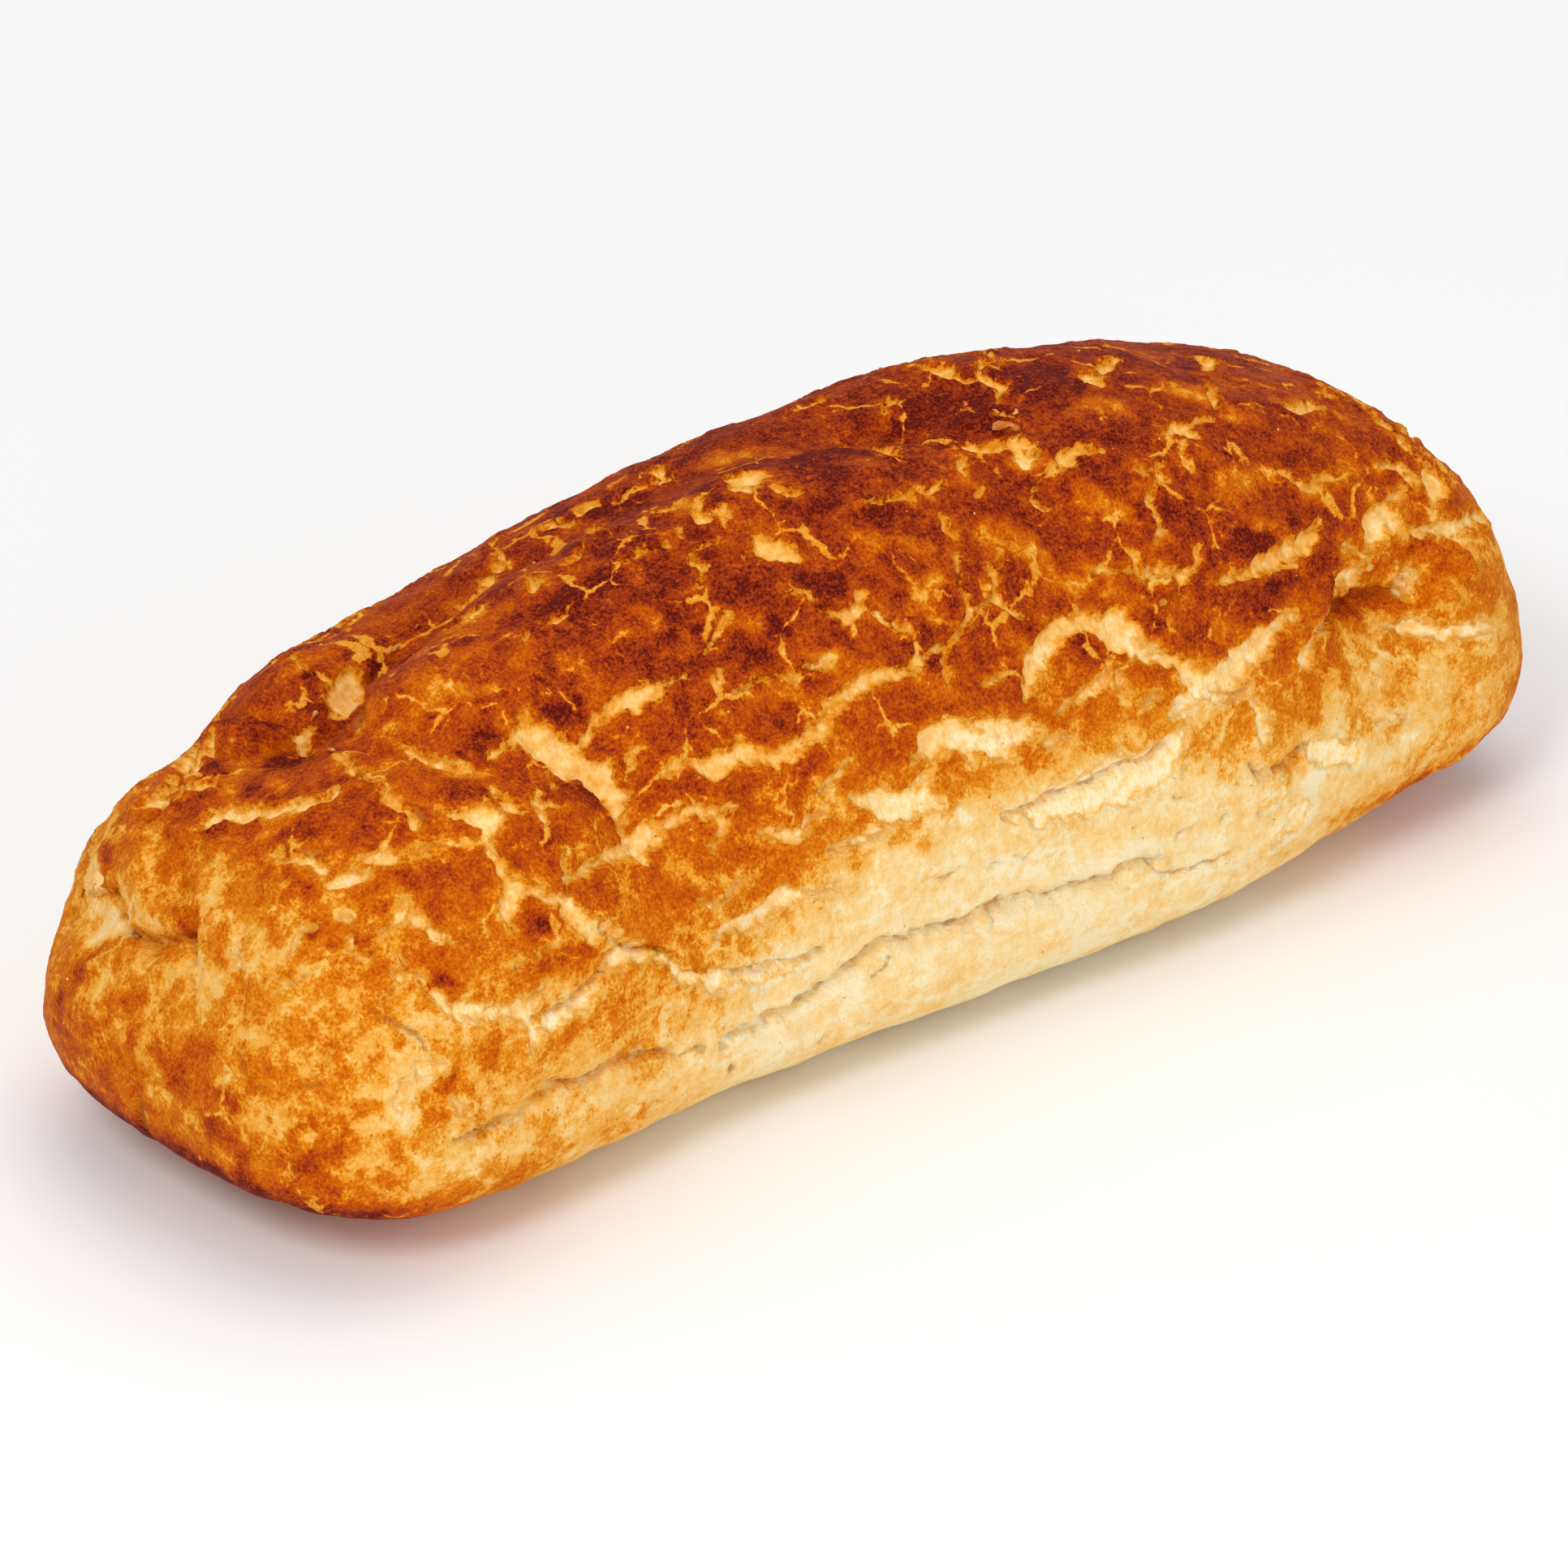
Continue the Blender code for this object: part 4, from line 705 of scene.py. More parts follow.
def roughen(points, step, wander, dice):
    # puts points between a stroke's own, each pushed a little sideways
    while True:
        finer = [points[0]]
        split = False
        for a, b in zip(points, points[1:]):
            run = b[:2] - a[:2]
            length = math.hypot(*run)
            if length > step:
                middle = (a + b) / 2
                push = dice.uniform(-wander, wander)
                middle[:2] += push * np.array([-run[1], run[0]])
                middle[2] *= 1 + dice.uniform(-wander, wander) * 2
                finer.append(middle)
                split = True
            finer.append(b)
        points = finer
        if not split:
            return points


def landStroke(tree, stroke, dice, step, tip, settings):
    # brings a stroke down on the loaf as runs of (x, y, z, half width); it breaks where a fold hides it
    points = [np.array(point, dtype=float) for point in zip(stroke[::3], stroke[1::3], stroke[2::3])]
    lone = len(points) == 1
    if not lone:
        points = roughen(points, step, settings["wander"], dice)
    pixelSize = cameraSettings["pixelSize"]
    runs = [[]]
    for index, (x, y, width) in enumerate(points):
        before = points[max(index - 1, 0)]
        after = points[min(index + 1, len(points) - 1)]
        course = after[:2] - before[:2]
        side = np.array([-course[1], course[0]]) / max(math.hypot(*course), 1e-6)
        if lone:
            side = np.array([1.0, 0.0])
        middle = castPixel(tree, x, y)
        if middle is None:
            continue
        half = width / 2 * pixelSize
        edges = [castPixel(tree, *(np.array([x, y]) + side * sign * width / 2)) for sign in (-1, 1)]
        if edges[0] is not None and edges[1] is not None:
            span = np.linalg.norm(edges[1] - edges[0]) / 2
            half = min(span, half * settings["widest"])
        if not lone and index in (0, len(points) - 1):
            half *= tip
        point = np.array([*middle, half])
        reach = settings["jump"] + step * pixelSize * 3
        if runs[-1] and np.linalg.norm(point[:3] - runs[-1][-1][:3]) > reach:
            runs.append([])
        runs[-1].append(point)
    return [np.array(run) for run in runs if run]


# the loaf's smooth skin, from the frame

skinSettings = {
    "mergeDistance": 0.01,
    "flatUnder": 0.02,           # faces that lie wholly below this are the underside
    "pairAngle": 1.2,            # how crooked, in radians, two triangles may be and still make a quad
    "baseInset": (1.5, 4.0),     # rings that keep the underside flat
    "faceSize": 2.8,             # longest edge on the plates
    "edgeFaceSize": 0.90,        # longest edge where a crack's rim has to be crisp
    "rimBand": 1.0,              # how far from a crack's rim the small faces reach
    "besideBand": 2.2,           # this many times as far, faces are
    "besideEase": 1.7,           # this many times as long
    "foldFaceSize": 2.3,
    "foldFrom": 0.1,             # depth from which a fold counts
    "backFrom": 22,              # past this, on the side that the camera can't see, faces are longer
    "backEase": 1.35,
    "underFaceSize": 14.0,
    "underBelow": 0.3,
    "rounds": 6,
}


def smoothSkin(settings):
    # the frame's loaf with its triangles paired to quads and rounded once
    shape = bmesh.new()
    shape.from_mesh(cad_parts["tiger_loaf"].data)
    bmesh.ops.remove_doubles(shape, verts=shape.verts, dist=settings["mergeDistance"] * mm)
    highest = settings["flatUnder"] * mm
    under = [face for face in shape.faces if max(vertex.co.z for vertex in face.verts) < highest]
    bmesh.ops.dissolve_faces(shape, faces=under)
    bmesh.ops.join_triangles(shape, faces=[face for face in shape.faces if len(face.verts) == 3],
                             angle_face_threshold=settings["pairAngle"],
                             angle_shape_threshold=settings["pairAngle"])
    base = max(shape.faces, key=lambda face: len(face.verts))
    for width in settings["baseInset"]:
        bmesh.ops.inset_individual(shape, faces=[base], thickness=width * mm)
    mesh = bpy.data.meshes.new("skin")
    shape.to_mesh(mesh)
    shape.free()
    skin = bpy.data.objects.new("skin", mesh)
    bpy.context.collection.objects.link(skin)
    rounding = skin.modifiers.new("rounding", "SUBSURF")
    rounding.levels = 1
    rounding.render_levels = 1
    graph = bpy.context.evaluated_depsgraph_get()
    rounded = bpy.data.meshes.new_from_object(skin.evaluated_get(graph))
    bpy.data.objects.remove(skin)
    shape = bmesh.new()
    shape.from_mesh(rounded)
    bmesh.ops.triangulate(shape, faces=shape.faces)
    points = np.array([vertex.co[:] for vertex in shape.verts]) / mm
    faces = np.array([[vertex.index for vertex in face.verts] for face in shape.faces])
    shape.free()
    points[:, 2] = np.maximum(points[:, 2], 0)
    return points, faces


def skinNormals(points, faces):
    a, b, c = (points[faces[:, k]] for k in range(3))
    flat = np.cross(b - a, c - a)
    normals = np.zeros_like(points)
    for k in range(3):
        np.add.at(normals, faces[:, k], flat)
    return normals / np.maximum(np.linalg.norm(normals, axis=1, keepdims=True), 1e-12)


def splitEdges(points, faces, wanted):
    # halves every face whose longest edge is over the wanted length, keeping the skin closed
    count = len(points)
    sides = np.sort(np.stack([faces[:, [0, 1]], faces[:, [1, 2]], faces[:, [2, 0]]], axis=1), axis=2)
    keys, edgeOf = np.unique(sides[..., 0] * count + sides[..., 1], return_inverse=True)
    edgeOf = edgeOf.reshape(-1, 3)
    ends = np.stack([keys // count, keys % count], axis=1)
    length = np.linalg.norm(points[ends[:, 0]] - points[ends[:, 1]], axis=1)
    turn = length[edgeOf].argmax(axis=1)
    longest = edgeOf[np.arange(len(faces)), turn]
    tooLong = length > wanted[ends].min(axis=1)
    marked = np.zeros(len(keys), dtype=bool)
    marked[longest[tooLong[longest]]] = True
    while True:
        more = marked[edgeOf].any(axis=1) & ~marked[longest]
        if not more.any():
            break
        marked[longest[more]] = True
    if not marked.any():
        return points, faces, False

    # a new point bows out from its edge, so that the halves follow the round skin
    normals = skinNormals(points, faces)
    a, b = ends[marked].T
    chord = points[b] - points[a]
    bow = ((normals[a] * chord).sum(1)[:, None] * normals[a]
           - (normals[b] * chord).sum(1)[:, None] * normals[b]) / 8
    middles = (points[a] + points[b]) / 2 - bow
    number = np.full(len(keys), -1)
    number[marked] = count + np.arange(marked.sum())

    order = (turn[:, None] + np.arange(3)) % 3
    corner = np.take_along_axis(faces, order, axis=1)
    a, b, c = corner.T
    m, n, p = number[np.take_along_axis(edgeOf, order, axis=1)].T
    hasM, hasN, hasP = m >= 0, n >= 0, p >= 0
    left = hasM & ~hasP
    leftCut = hasM & hasP
    right = hasM & ~hasN
    rightCut = hasM & hasN
    parts = [faces[~hasM],
             np.stack([a, m, c], 1)[left],
             np.stack([a, m, p], 1)[leftCut], np.stack([p, m, c], 1)[leftCut],
             np.stack([m, b, c], 1)[right],
             np.stack([m, b, n], 1)[rightCut], np.stack([m, n, c], 1)[rightCut]]
    return np.concatenate([points, middles]), np.concatenate(parts), True


def strayed(points, size, reach, seed):
    # moves points by soft noise, so that what is measured from them comes out ragged
    shift = Vector((seed, seed * 2, seed * 3))
    stray = [noise.noise_vector(Vector(point) / size + shift) for point in points]
    return points + np.array(stray) * reach


def nearRuns(points, runs, reach):
    # for each point and its nearest stroke: gap to the stroke's rim, and the stroke's half width there
    gap = np.full(len(points), float(reach))
    half = np.zeros(len(points))
    for run in runs:
        widest = run[:, 3].max()
        low = run[:, :3].min(axis=0) - reach - widest
        high = run[:, :3].max(axis=0) + reach + widest
        near = np.nonzero(((points > low) & (points < high)).all(axis=1))[0]
        if len(near):
            place = points[near]
            pairs = list(zip(run, run[1:])) or [(run[0], run[0] + [0.01, 0, 0, 0])]     # a lone point
            for a, b in pairs:
                line = b[:3] - a[:3]
                length = max(np.linalg.norm(line), 1e-4)
                share = np.clip((place - a[:3]) @ line / length ** 2, 0, 1)
                offset = place - a[:3] - share[:, None] * line
                radius = a[3] + (b[3] - a[3]) * share
                here = np.linalg.norm(offset, axis=1) - radius
                better = here < gap[near]
                spot = near[better]
                gap[spot] = here[better]
                half[spot] = radius[better]
    return gap, half


# the sides that the photograph doesn't show

hiddenSettings = {
    "cracks": {"seed": 31, "tries": 2200, "spacing": 9.0, "length": (12, 72), "halfWidth": (0.5, 2.3),
               "lowest": 36, "turn": 0.50, "branchChance": 0.13},
    "stains": {"seed": 47, "tries": 420, "spacing": 9.0, "length": (3, 16), "halfWidth": (0.8, 2.8),
               "lowest": 12, "turn": 0.35, "branchChance": 0.0},
    "paleStain": 0.17,
    "darkStain": 0.14,
    # each groove's start, length and half width
    "grooves": ((-118, 50, 27, 70, 1.9), (-30, 50, 20, 96, 2.2), (52, 50, 30, 60, 1.8),
                (20, 50, 34, 34, 1.4)),
    "grooveDepth": 1.9,
    "grooveTurn": 0.12,
}
walkSettings = {
    "step": 2.2,
    "lowest": 7,             # a line ends this near the base,
    "under": -0.5,           # where the skin faces down more than this,
    "clearFrom": 4,          # or, once it is this long,
    "clearGap": 1.0,         # where another line is nearer than this
    "endWidth": 0.5,         # and it ends there with this share of its width
    "swell": (0.03, 0.97, 0.6),      # how its width grows and shrinks from end to end
    "wobble": (5, 0.6),      # size and reach of the noise in the width
    "thinnest": 0.15,
    "bend": 0.25,            # the share of a turn that stays
}
sowSettings = {
    "above": 20,             # how far over the loaf a guess may lie
    "liftOff": 0.3,          # where the ray to the camera starts
    "grazing": 0.03,         # the camera sees skin that faces it more than this
    "under": -0.2,
    "spread": 0.6,           # how far, in radians, lines stray from the loaf's length
    "across": 0.3,
    "shortWidth": 0.6,       # width of the shortest lines, as a share
    "fewest": 3,             # points in a line
    "forkAhead": (-0.4, 0.6),
    "forkStart": 1.2,
    "armLength": (5, 20),
    "armWidth": 0.6,
}


def walkCrack(tree, place, course, length, halfWidth, taken, turn, dice, settings=walkSettings):
    # a jagged line over the loaf that keeps to its course but for a slow bend
    run = []
    travelled = 0.0
    bend = 0.0
    first, last, power = settings["swell"]
    size, reach = settings["wobble"]
    while travelled < length:
        found, normal, _, _ = tree.find_nearest(Vector(place) * mm)
        place = np.array(found) / mm
        normal = np.array(normal)
        if place[2] < settings["lowest"] or normal[2] < settings["under"]:
            break
        if run and taken and travelled > settings["clearFrom"]:
            others = np.concatenate(taken)
            clear = np.linalg.norm(others[:, :3] - place, axis=1) - others[:, 3]
            if clear.min() < settings["clearGap"]:
                run.append(np.array([*place, halfWidth * settings["endWidth"]]))
                break
        swell = math.sin(math.pi * min(max(travelled / length, first), last)) ** power
        wobble = 1 + reach * noise.noise(Vector(place) / size)
        run.append(np.array([*place, max(halfWidth * swell * wobble, settings["thinnest"])]))
        bend += dice.gauss(0, turn * settings["bend"])
        angle = bend + dice.gauss(0, turn)
        course = course - normal * (course @ normal)
        course /= np.linalg.norm(course)
        ahead = course * math.cos(angle) + np.cross(normal, course) * math.sin(angle)
        place = place + ahead * settings["step"]
        travelled += settings["step"]
    return np.array(run)


def outOfSight(tree, place, normal, settings, sow):
    # whether a place is hidden from the camera, high enough and not on the underside
    toCamera = (camera.location - place).normalized()
    clear = tree.ray_cast(place + normal * sow["liftOff"] * mm, toCamera)[0] is None
    if clear and normal.dot(toCamera) > sow["grazing"]:
        return False
    return place.z / mm >= settings["lowest"] and normal.z >= sow["under"]


def growArms(tree, run, halfWidth, taken, settings, dice, sow):
    # short side cracks
    arms = []
    for index in range(2, len(run) - 2):
        if dice.random() < settings["branchChance"]:
            ahead = run[index + 1, :3] - run[index - 1, :3]
            ahead /= np.linalg.norm(ahead)
            out = np.cross(ahead, np.array(tree.find_nearest(Vector(run[index, :3]) * mm)[1]))
            fork = ahead * dice.uniform(*sow["forkAhead"]) + out * dice.choice((-1, 1))
            begin = run[index, :3] + fork * (run[index, 3] + sow["forkStart"])
            arm = walkCrack(tree, begin, fork, dice.uniform(*sow["armLength"]),
                            halfWidth * sow["armWidth"], taken, settings["turn"], dice)
            if len(arm) >= sow["fewest"]:
                arms.append(arm)
    return arms


def hiddenRuns(tree, shown, settings, sow=sowSettings):
    # scatters jagged lines, mostly lengthwise, over what the camera can't see
    dice = random.Random(settings["seed"])
    low, high = np.array(cadBox) / mm
    taken = list(shown)
    runs = []
    for _ in range(settings["tries"]):
        guess = Vector((dice.uniform(low[0], high[0]), dice.uniform(low[1], high[1]),
                        dice.uniform(settings["lowest"], high[2] + sow["above"])))
        found, normal, _, _ = tree.find_nearest(guess * mm)
        if not outOfSight(tree, found, normal, settings, sow):
            continue
        place = np.array(found) / mm
        others = np.concatenate(taken)
        if np.linalg.norm(others[:, :3] - place, axis=1).min() < settings["spacing"]:
            continue
        angle = dice.gauss(0, sow["spread"])
        course = np.array([math.cos(angle), sow["across"] * math.sin(angle), math.sin(angle)])
        course = course * dice.choice((-1, 1))
        length = dice.uniform(*settings["length"])
        halfWidth = dice.uniform(*settings["halfWidth"])
        halfWidth *= sow["shortWidth"] + (1 - sow["shortWidth"]) * length / settings["length"][1]
        run = walkCrack(tree, place, course, length, halfWidth, taken, settings["turn"], dice)
        if len(run) < sow["fewest"]:
            continue
        grew = [run] + growArms(tree, run, halfWidth, taken, settings, dice, sow)
        runs += grew
        taken += grew
    return runs


def smooth(value, start, end):
    share = np.clip((value - start) / (end - start), 0, 1)
    return share * share * (3 - 2 * share)


bakeSettings = {
    # heights above the base, along the length, where the skin turns gold, orange and brown
    "stations": (-150, -135, -120, -85, -57, -30, 0, 30, 60, 90, 110, 150),
    "front": ((0, 0, 4, 12, 22, 38, 40, 39, 29, 15, 8, 2),
              (46, 50, 52, 41, 41, 49, 50, 51, 46, 43, 44, 45),
              (74, 84, 90, 76, 64, 66, 65, 64, 61, 65, 70, 74)),
    "back": ((0, 5, 12, 22, 30, 26, 32, 36, 28, 18, 8, 0),
             (46, 50, 44, 46, 52, 47, 50, 54, 48, 44, 42, 42),
             (70, 74, 66, 68, 72, 66, 68, 70, 66, 62, 62, 68)),
    "levels": (0.03, 0.12, 0.50, 0.80, 0.90),       # foot, then at the three heights, then the crown
    "crown": 92,
    "endStations": (0, 12, 30, 48, 60, 74, 90),     # the same up the two ends
    "nearEnd": (0.58, 0.58, 0.54, 0.44, 0.42, 0.60, 0.80),
    "farEnd": (0.58, 0.50, 0.50, 0.50, 0.58, 0.74, 0.84),
    "endStart": (124, 146),
    "footBand": 12,
    "turnToBack": (-8, 12),                         # where the front's heights give way to the back's
    "rim": (0.50, 0.50, 0.42, 0.18, 0.06, 0.03, 0.0, 0.0, 0.04, 0.22, 0.36, 0.44),
    "rimHeights": (13.0, 20.0),
    "rimWander": 0.4,
    "underLevel": 0.42,
    "underBelow": 0.3,
    "tideWander": (16.0, 5.0),                      # size and reach of the noise in all heights
    "ragged": ((7.0, 2.4, 21.0), (2.6, 1.4, 5.5)),  # size, reach and seed of the noise in the stains
    "smearFade": (-0.9, 2.0),                       # pale stains die out over this gap, dark ones
    "scorchFade": (-1.0, 2.0),                      # over this one
    "stainReach": 5.0,
}


def bakeLevels(points, smearRuns, scorchRuns, settings):
    x, y, z = points.T
    size, reach = settings["tideWander"]
    wander = np.array([noise.noise(Vector(point) / size) for point in points]) * reach
    lifted = z + wander
    stations = settings["stations"]
    back = smooth(y, *settings["turnToBack"])
    heights = []
    for front, rear in zip(settings["front"], settings["back"]):
        heights.append(np.interp(x, stations, front) * (1 - back) + np.interp(x, stations, rear) * back)
    heights.append(np.full(len(x), float(settings["crown"])))
    levels = settings["levels"]
    foot = smooth(lifted, heights[0] - settings["footBand"], heights[0])
    level = levels[0] + (levels[1] - levels[0]) * foot
    for low, high, before, after in zip(heights, heights[1:], levels[1:], levels[2:]):
        level += (after - before) * np.clip((lifted - low) / (high - low), 0, 1)
    ends = np.where(x < 0, np.interp(lifted, settings["endStations"], settings["nearEnd"]),
                    np.interp(lifted, settings["endStations"], settings["farEnd"]))
    level += (ends - level) * smooth(np.abs(x) + wander, *settings["endStart"])
    above = smooth(z + wander * settings["rimWander"], *settings["rimHeights"])
    level += np.interp(x, stations, settings["rim"]) * (1 - above)
    level += (settings["underLevel"] - level) * (z < settings["underBelow"])
    loose = points
    for size, reach, seed in settings["ragged"]:
        loose = strayed(loose, size, reach, seed)
    for sign, group, fadeOut in ((-1, smearRuns, settings["smearFade"]),
                                 (1, scorchRuns, settings["scorchFade"])):
        for amount, runs in group:
            near = nearRuns(loose, runs, settings["stainReach"])[0]
            level += sign * amount * (1 - smooth(near, *fadeOut))
    return np.clip(level, 0, 1)


measureSettings = {
    "ragged": ((6.0, 0.8, 3.7), (2.2, 0.6, 11.3)),  # size, reach and seed of the noise in the cracks' rims
    "slight": 0.4,          # slits and folds stray by this share of it
    "width": (4.5, 0.6),    # size and reach of the noise in the cracks' width
    "crackReach": 7.0,
    "slitReach": 3.0,
    "foldReach": 4.0,
    "dentPower": 1.3,
    "thin": (0.8, 2.5),     # cracks with a smaller half width count as deeper inside, at most so many times
    "shrink": 0.25,         # how much narrower cracks come out
    "fullFrom": 1.6,        # the half width where all of that and of the noise holds,
    "least": 0.2,           # and the share that's left for thin cracks, so that they stay whole
    "smallest": 0.1,
}


def measure(points, crackRuns, slitRuns, foldRuns, settings=measureSettings):
    # columns: gap to the nearest crack, gap to the nearest slit, depth of the folds
    loose = points
    for size, reach, seed in settings["ragged"]:
        loose = strayed(loose, size, reach, seed)
    slight = points + (loose - points) * settings["slight"]
    slitGap = nearRuns(slight, slitRuns, settings["slitReach"])[0]
    dent = np.zeros(len(points))
    swelling = np.zeros(len(points))
    for amount, runs in foldRuns:
        gap, half = nearRuns(slight, runs, settings["foldReach"])
        share = np.clip(-gap / np.maximum(half, settings["smallest"]), 0, 1)
        if amount > 0:
            dent = np.maximum(dent, amount * share ** settings["dentPower"])
        else:
            swelling = np.minimum(swelling, amount * smooth(share, 0, 1))
    size, reach = settings["width"]
    swell = np.array([noise.fractal(Vector(point) / size, 1.0, 2.0, 3) for point in points]) * reach
    crackGap, half = nearRuns(loose, crackRuns, settings["crackReach"])
    thin, most = settings["thin"]
    deeper = np.clip(thin / np.maximum(half, settings["smallest"]), 1, most)
    crackGap = np.where(crackGap < 0, crackGap * deeper, crackGap)
    crackGap += (swell + settings["shrink"]) * np.clip(half / settings["fullFrom"], settings["least"], 1)
    return np.stack([crackGap, slitGap, dent + swelling], axis=1)


def wantedLengths(points, values, settings):
    crackGap, slitGap, depth = values.T
    rim = np.minimum(np.abs(crackGap), np.abs(slitGap))
    wanted = np.where(np.abs(depth) > settings["foldFrom"], settings["foldFaceSize"], settings["faceSize"])
    beside = np.minimum(wanted, settings["edgeFaceSize"] * settings["besideEase"])
    wanted = np.where(rim < settings["rimBand"] * settings["besideBand"], beside, wanted)
    wanted = np.where(rim < settings["rimBand"], settings["edgeFaceSize"], wanted)
    wanted = wanted * np.where(points[:, 1] > settings["backFrom"], settings["backEase"], 1)
    return np.where(points[:, 2] < settings["underBelow"], settings["underFaceSize"], wanted)


skinPoints, skinFaces = smoothSkin(skinSettings)
tree = BVHTree.FromPolygons([tuple(point * mm) for point in skinPoints], skinFaces.tolist())
dice = random.Random(strokeSettings["seed"])


def landAll(strokes, step=strokeSettings["step"], tip=1.0):
    return [run for stroke in strokes for run in landStroke(tree, stroke, dice, step, tip, strokeSettings)]


crackRuns = [run for strokes in cracks.values() for run in landAll(strokes, tip=strokeSettings["crackTip"])]
slitRuns = landAll(slits, strokeSettings["slitStep"])
foldRuns = [(depth, landAll(strokes)) for depth, strokes in folds.values()]
smearRuns = [(amount, landAll(strokes)) for amount, strokes in smears.values()]
scorchRuns = [(amount, landAll(strokes)) for amount, strokes in scorches.values()]
behind = hiddenRuns(tree, crackRuns, hiddenSettings["cracks"])
crackRuns += behind
stains = hiddenRuns(tree, crackRuns, hiddenSettings["stains"])
smearRuns.append((hiddenSettings["paleStain"], stains[::2]))
scorchRuns.append((hiddenSettings["darkStain"], stains[1::2]))
lengthwise = np.array([1.0, 0, 0])
grooves = [walkCrack(tree, np.array(groove[:3]), lengthwise, *groove[3:], [],
                     hiddenSettings["grooveTurn"], dice)
           for groove in hiddenSettings["grooves"]]
foldRuns.append((hiddenSettings["grooveDepth"], [run for run in grooves if len(run)]))
print("cracks:", len(crackRuns), "of them hidden:", len(behind), "stains:", len(stains))

values = measure(skinPoints, crackRuns, slitRuns, foldRuns)
for _ in range(skinSettings["rounds"]):
    count = len(skinPoints)
    wanted = wantedLengths(skinPoints, values, skinSettings)
    skinPoints, skinFaces, changed = splitEdges(skinPoints, skinFaces, wanted)
    if not changed:
        break
    values = np.concatenate([values, measure(skinPoints[count:], crackRuns, slitRuns, foldRuns)])
print("skin faces:", len(skinFaces))

bake = bakeLevels(skinPoints, smearRuns, scorchRuns, bakeSettings)


def plainMesh(name, points, faces, values):
    mesh = bpy.data.meshes.new(name)
    mesh.vertices.add(len(points))
    mesh.vertices.foreach_set("co", (points * mm).ravel())
    mesh.loops.add(faces.size)
    mesh.loops.foreach_set("vertex_index", faces.ravel())
    mesh.polygons.add(len(faces))
    mesh.polygons.foreach_set("loop_start", np.arange(0, faces.size, 3))
    mesh.update(calc_edges=True)
    for label, numbers in values.items():
        data = mesh.attributes.new(label, "FLOAT", "POINT").data
        data.foreach_set("value", numbers.astype(np.float32))
    mesh.shade_smooth()
    return mesh


# materials

def newMaterial(name):
    material = bpy.data.materials.new(name)
    material.use_nodes = True
    tree = material.node_tree
    return material, tree, tree.nodes["Principled BSDF"]


def numberGroup(name, outputs):
    # a shader group that turns a place into numbers
    group = bpy.data.node_groups.new(name, "ShaderNodeTree")
    group.interface.new_socket("Vector", in_out="INPUT", socket_type="NodeSocketVector")
    for label in outputs:
        group.interface.new_socket(label, in_out="OUTPUT", socket_type="NodeSocketFloat")
    return group, group.nodes.new("NodeGroupInput").outputs[0], group.nodes.new("NodeGroupOutput").inputs


def warped(tree, vector, size, reach):
    # bends a place vector by coloured noise
    stray = noiseNode(tree, vector, {"Scale": 1 / size}).outputs["Color"]
    half = calcVector(tree, "SUBTRACT", vector, (reach / 2,) * 3)
    return calcVector(tree, "MULTIPLY_ADD", stray, (reach,) * 3, half)


mottleSettings = {
    "clouds": {
        # size, detail, roughness and where in the noise it is taken
        "Plates": (6.5, 6.0, 0.60, (0, 0, 0)),
        "Blotch": (15.0, 2.0, 0.50, (31, 0, 0)),
        "Mottle": (2.2, 4.0, 0.65, (0, 53, 0)),
        "Grain": (0.6, 3.0, 0.75, (0, 0, 0)),
    },
    "speckCell": 2.0,
    "speckShare": 0.12,         # of the cells that have a speck
    "speckRim": (0.13, 0.06),   # in cells
    # cell size of a net of joints, how much their width comes and goes, and its usual value
    "joints": ((14.0, 5.0, -0.1), (6.5, 4.5, -0.7)),
    "jointBend": 0.4,           # in cells
    "jointFray": (1.6, 0.9),    # size and reach
    "jointCloud": (0.8, 3.0, 0.6),
    "jointShift": 17,
}


def crustMottle(settings):
    # how crust browns unevenly: ragged plates, blotches, mottle, grain, dark specks, and in millimetres
    # the gap to the nearest joint, where the crust parts along a thin crack that comes and goes
    group, place, result = numberGroup("crustMottle", (*settings["clouds"], "Speck", "Joint Gap"))
    for name, look in settings["clouds"].items():
        group.links.new(cloud(group, place, *look), result[name])
    specks = addNode(group, "ShaderNodeTexVoronoi", {"voronoi_dimensions": "3D", "feature": "F1"},
                     {"Vector": place, "Scale": 1 / settings["speckCell"]})
    pick = addNode(group, "ShaderNodeSeparateColor", None, {"Color": specks.outputs["Color"]}).outputs[0]
    dot = calc(group, "MULTIPLY", fade(group, specks.outputs["Distance"], *settings["speckRim"]),
               calc(group, "LESS_THAN", pick, settings["speckShare"]))
    group.links.new(dot, result["Speck"])
    gaps = []
    share, detail, rough = settings["jointCloud"]
    for size, spread, usual in settings["joints"]:
        bend = size * settings["jointBend"]
        bent = warped(group, warped(group, place, bend, bend), *settings["jointFray"])
        cells = addNode(group, "ShaderNodeTexVoronoi",
                        {"voronoi_dimensions": "3D", "feature": "DISTANCE_TO_EDGE"},
                        {"Vector": bent, "Scale": 1 / size}).outputs["Distance"]
        shift = (0, 0, settings["jointShift"] + size)
        width = swing(group, cloud(group, place, size * share, detail, rough, shift), spread, usual)
        gaps.append(calc(group, "SUBTRACT", calc(group, "MULTIPLY", cells, size), width))
    group.links.new(calc(group, "MINIMUM", *gaps), result["Joint Gap"])
    return group


fibreSettings = {
    "bendSize": 5.0,
    "bendReach": (3.0, 3.0, 3.0),
    "drawn": (1.5, 0.35, 0.30),
    "clouds": {"Streak": (1.0, 3.0, 0.6), "Cloud": (1.6, 3.0, 0.6)},    # size, detail and roughness
    "contrast": (0.3, 0.7),
}


